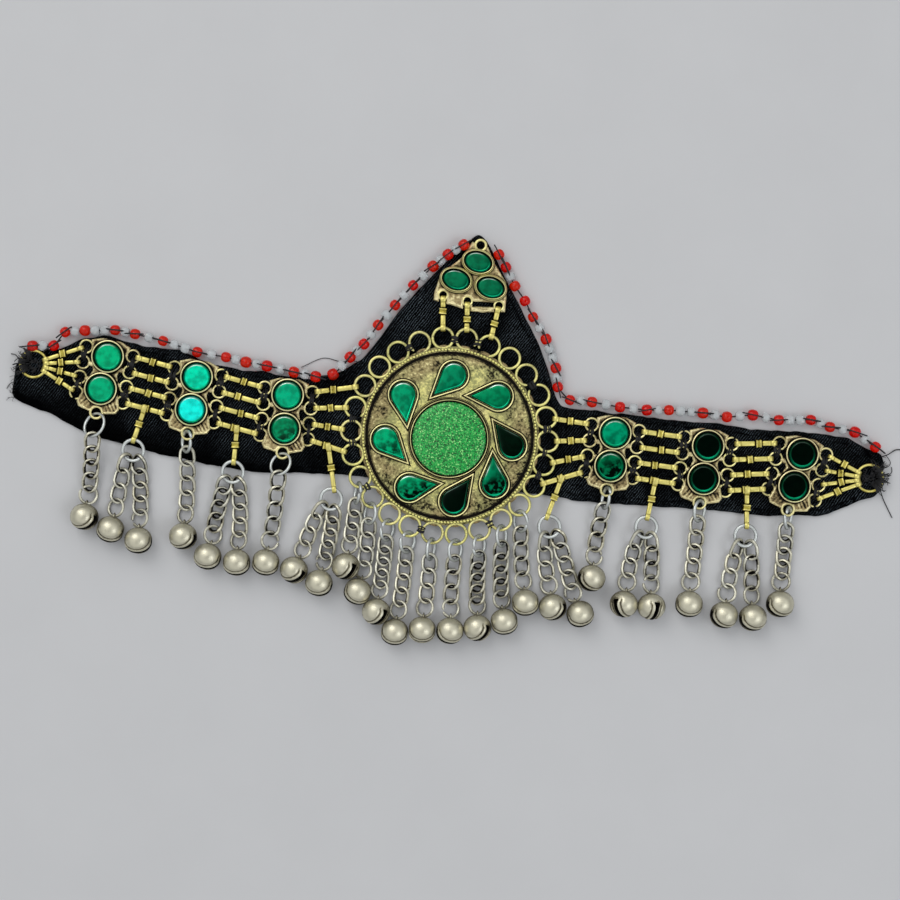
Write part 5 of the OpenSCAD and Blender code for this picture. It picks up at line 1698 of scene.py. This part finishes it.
for d, (foot, left, right) in enumerate(PAIRS):
    rng = random.Random(230 + d)
    foot = np.array(foot)
    u = unit((np.array(left[:2]) + np.array(right[:2])) / 2 - foot)
    middle = foot + PAIR_RING_R * u
    jump = ring(PAIR_RING_R, LINK_WIRE_R, None, 48, 10, age_and_shade=-0.25, tone=1.0)
    parts = [aimed(jump, np.append(foot, LOOP_Z), np.append(foot + 2 * PAIR_RING_R * u, PAIR_FAR_Z))]
    for side, row in ((-1, left), (1, right)):
        start = middle + PAIR_RING_R * turned(u, side * PAIR_SPREAD)
        parts += drop_parts(start, row, PAIR_FAR_Z, 0, side, PAIR_ROLL, PAIR_HOOK, rng)
    steel_piece(f"bell_pair_{d + 1}_chains", parts, f"bell_pair_{d + 1}")

stand_z = FLOOR_GAP + UPRIGHT_R + WIRE_R
for g, group in enumerate(("left", "middle", "right")):
    rng = random.Random(260 + g)
    parts = []
    for angle, *row in MEDAL_DROPS[g * 3:g * 3 + 3]:
        loop = on_circle(MEDAL_RING_R, angle)
        u = unit(np.array(row[:2]) - loop)
        h = loop + MEDAL_LOOP_R * u
        lean = (1 if loop[0] < 0 else -1) * (-1) ** row[2]
        start = h + (MEDAL_FORWARD + UPRIGHT_REACH) * u
        parts.append(upright_ring(h, u, MEDAL_FORWARD, stand_z, rng))
        parts += drop_parts(start, row, stand_z - UPRIGHT_DROP, 0, lean, LINK_ROLL, UPRIGHT_HOOK, rng)
    steel_piece(f"medal_drops_{group}_chains", parts, f"medal_drops_{group}")


# Floor, lights and camera: a plain pale surface, a soft light high on the upper left and a
# weaker one on the right, a sky that is bright overhead on the left and dark on the right,
# and a camera straight above.
FLOOR_HALF = 2
CAMERA_AT = (0.0009, -0.0051)
CAMERA_H = 0.65
CAMERA_ROLL = 8
VIEW_WIDTH = 0.3343
SENSOR = 36.0
SKY_STRENGTH = 1.12
LIGHTS = [
    # name, place, what it points at, size, power, colour
    ("key_softbox", (-0.72, 0.85, 1.15), (-0.05, 0.02, 0), (0.9, 1.1), 6.5, (1.0, 0.985, 0.96)),
    ("fill_softbox", (0.9, -0.3, 1.2), (0, 0, 0), (0.7, 0.7), 3, (0.93, 0.96, 1.0)),
]


def floor_material():
    """Pale matt paper, faintly mottled."""
    material, tree, shader = new_material("studio_paper")
    fibre = noise(tree, millimetres(tree), 0.02, 4.0, 0.6)
    set_inputs(tree, shader, {
        "Base Color": mix_colour(tree, fibre, linear(199, 200, 202), linear(206, 207, 209)),
        "Roughness": 0.8,
        "Specular IOR Level": 0.2,
    })
    return material


floor_mesh = bpy.data.meshes.new("studio_floor")
corners = [(x * FLOOR_HALF, y * FLOOR_HALF, 0) for x, y in ((-1, -1), (1, -1), (1, 1), (-1, 1))]
floor_mesh.from_pydata(corners, [], [(0, 1, 2, 3)])
floor_mesh.materials.append(floor_material())
floor = bpy.data.objects.new("studio_floor", floor_mesh)
bpy.context.scene.collection.objects.link(floor)


def area_light(name, at, look_at, size, energy, colour):
    """A rectangular lamp that points at a place."""
    data = bpy.data.lights.new(name, "AREA")
    data.shape = "RECTANGLE"
    data.size, data.size_y = size
    data.energy = energy
    data.color = colour
    lamp = bpy.data.objects.new(name, data)
    lamp.location = at
    lamp.rotation_euler = (Vector(look_at) - Vector(at)).to_track_quat("-Z", "Y").to_euler()
    bpy.context.scene.collection.objects.link(lamp)


for light in LIGHTS:
    area_light(*light)

world = bpy.data.worlds.new("studio")
world.use_nodes = True
bpy.context.scene.world = world
sky = world.node_tree
direction = node(sky, "SeparateXYZ", {0: node(sky, "TexCoord").outputs["Generated"]}).outputs
height = direction[2]
towards_light = maths(sky, "SUBTRACT", times(sky, direction[1], 0.8), direction[0])
overhead = mix_colour(sky, between(sky, towards_light, -0.06, 0.12), (0.04, 0.042, 0.045, 1), (1, 1, 1, 1))
tint = mix_colour(sky, between(sky, height, 0.1, 0.5), (0.12, 0.122, 0.125, 1), (0.62, 0.625, 0.63, 1))
tint = mix_colour(sky, between(sky, height, 0.88, 0.97), tint, overhead)
set_inputs(sky, sky.nodes["Background"], {"Color": tint, "Strength": SKY_STRENGTH})
bpy.context.scene.view_settings.view_transform = "Standard"

camera_data = bpy.data.cameras.new("overhead")
camera_data.sensor_width = SENSOR
camera_data.lens = SENSOR * CAMERA_H / VIEW_WIDTH
camera = bpy.data.objects.new("overhead", camera_data)
camera.location = (*CAMERA_AT, CAMERA_H)
camera.rotation_euler = (0, 0, math.radians(CAMERA_ROLL))
bpy.context.scene.collection.objects.link(camera)
bpy.context.scene.camera = camera

bpy.context.view_layer.update()
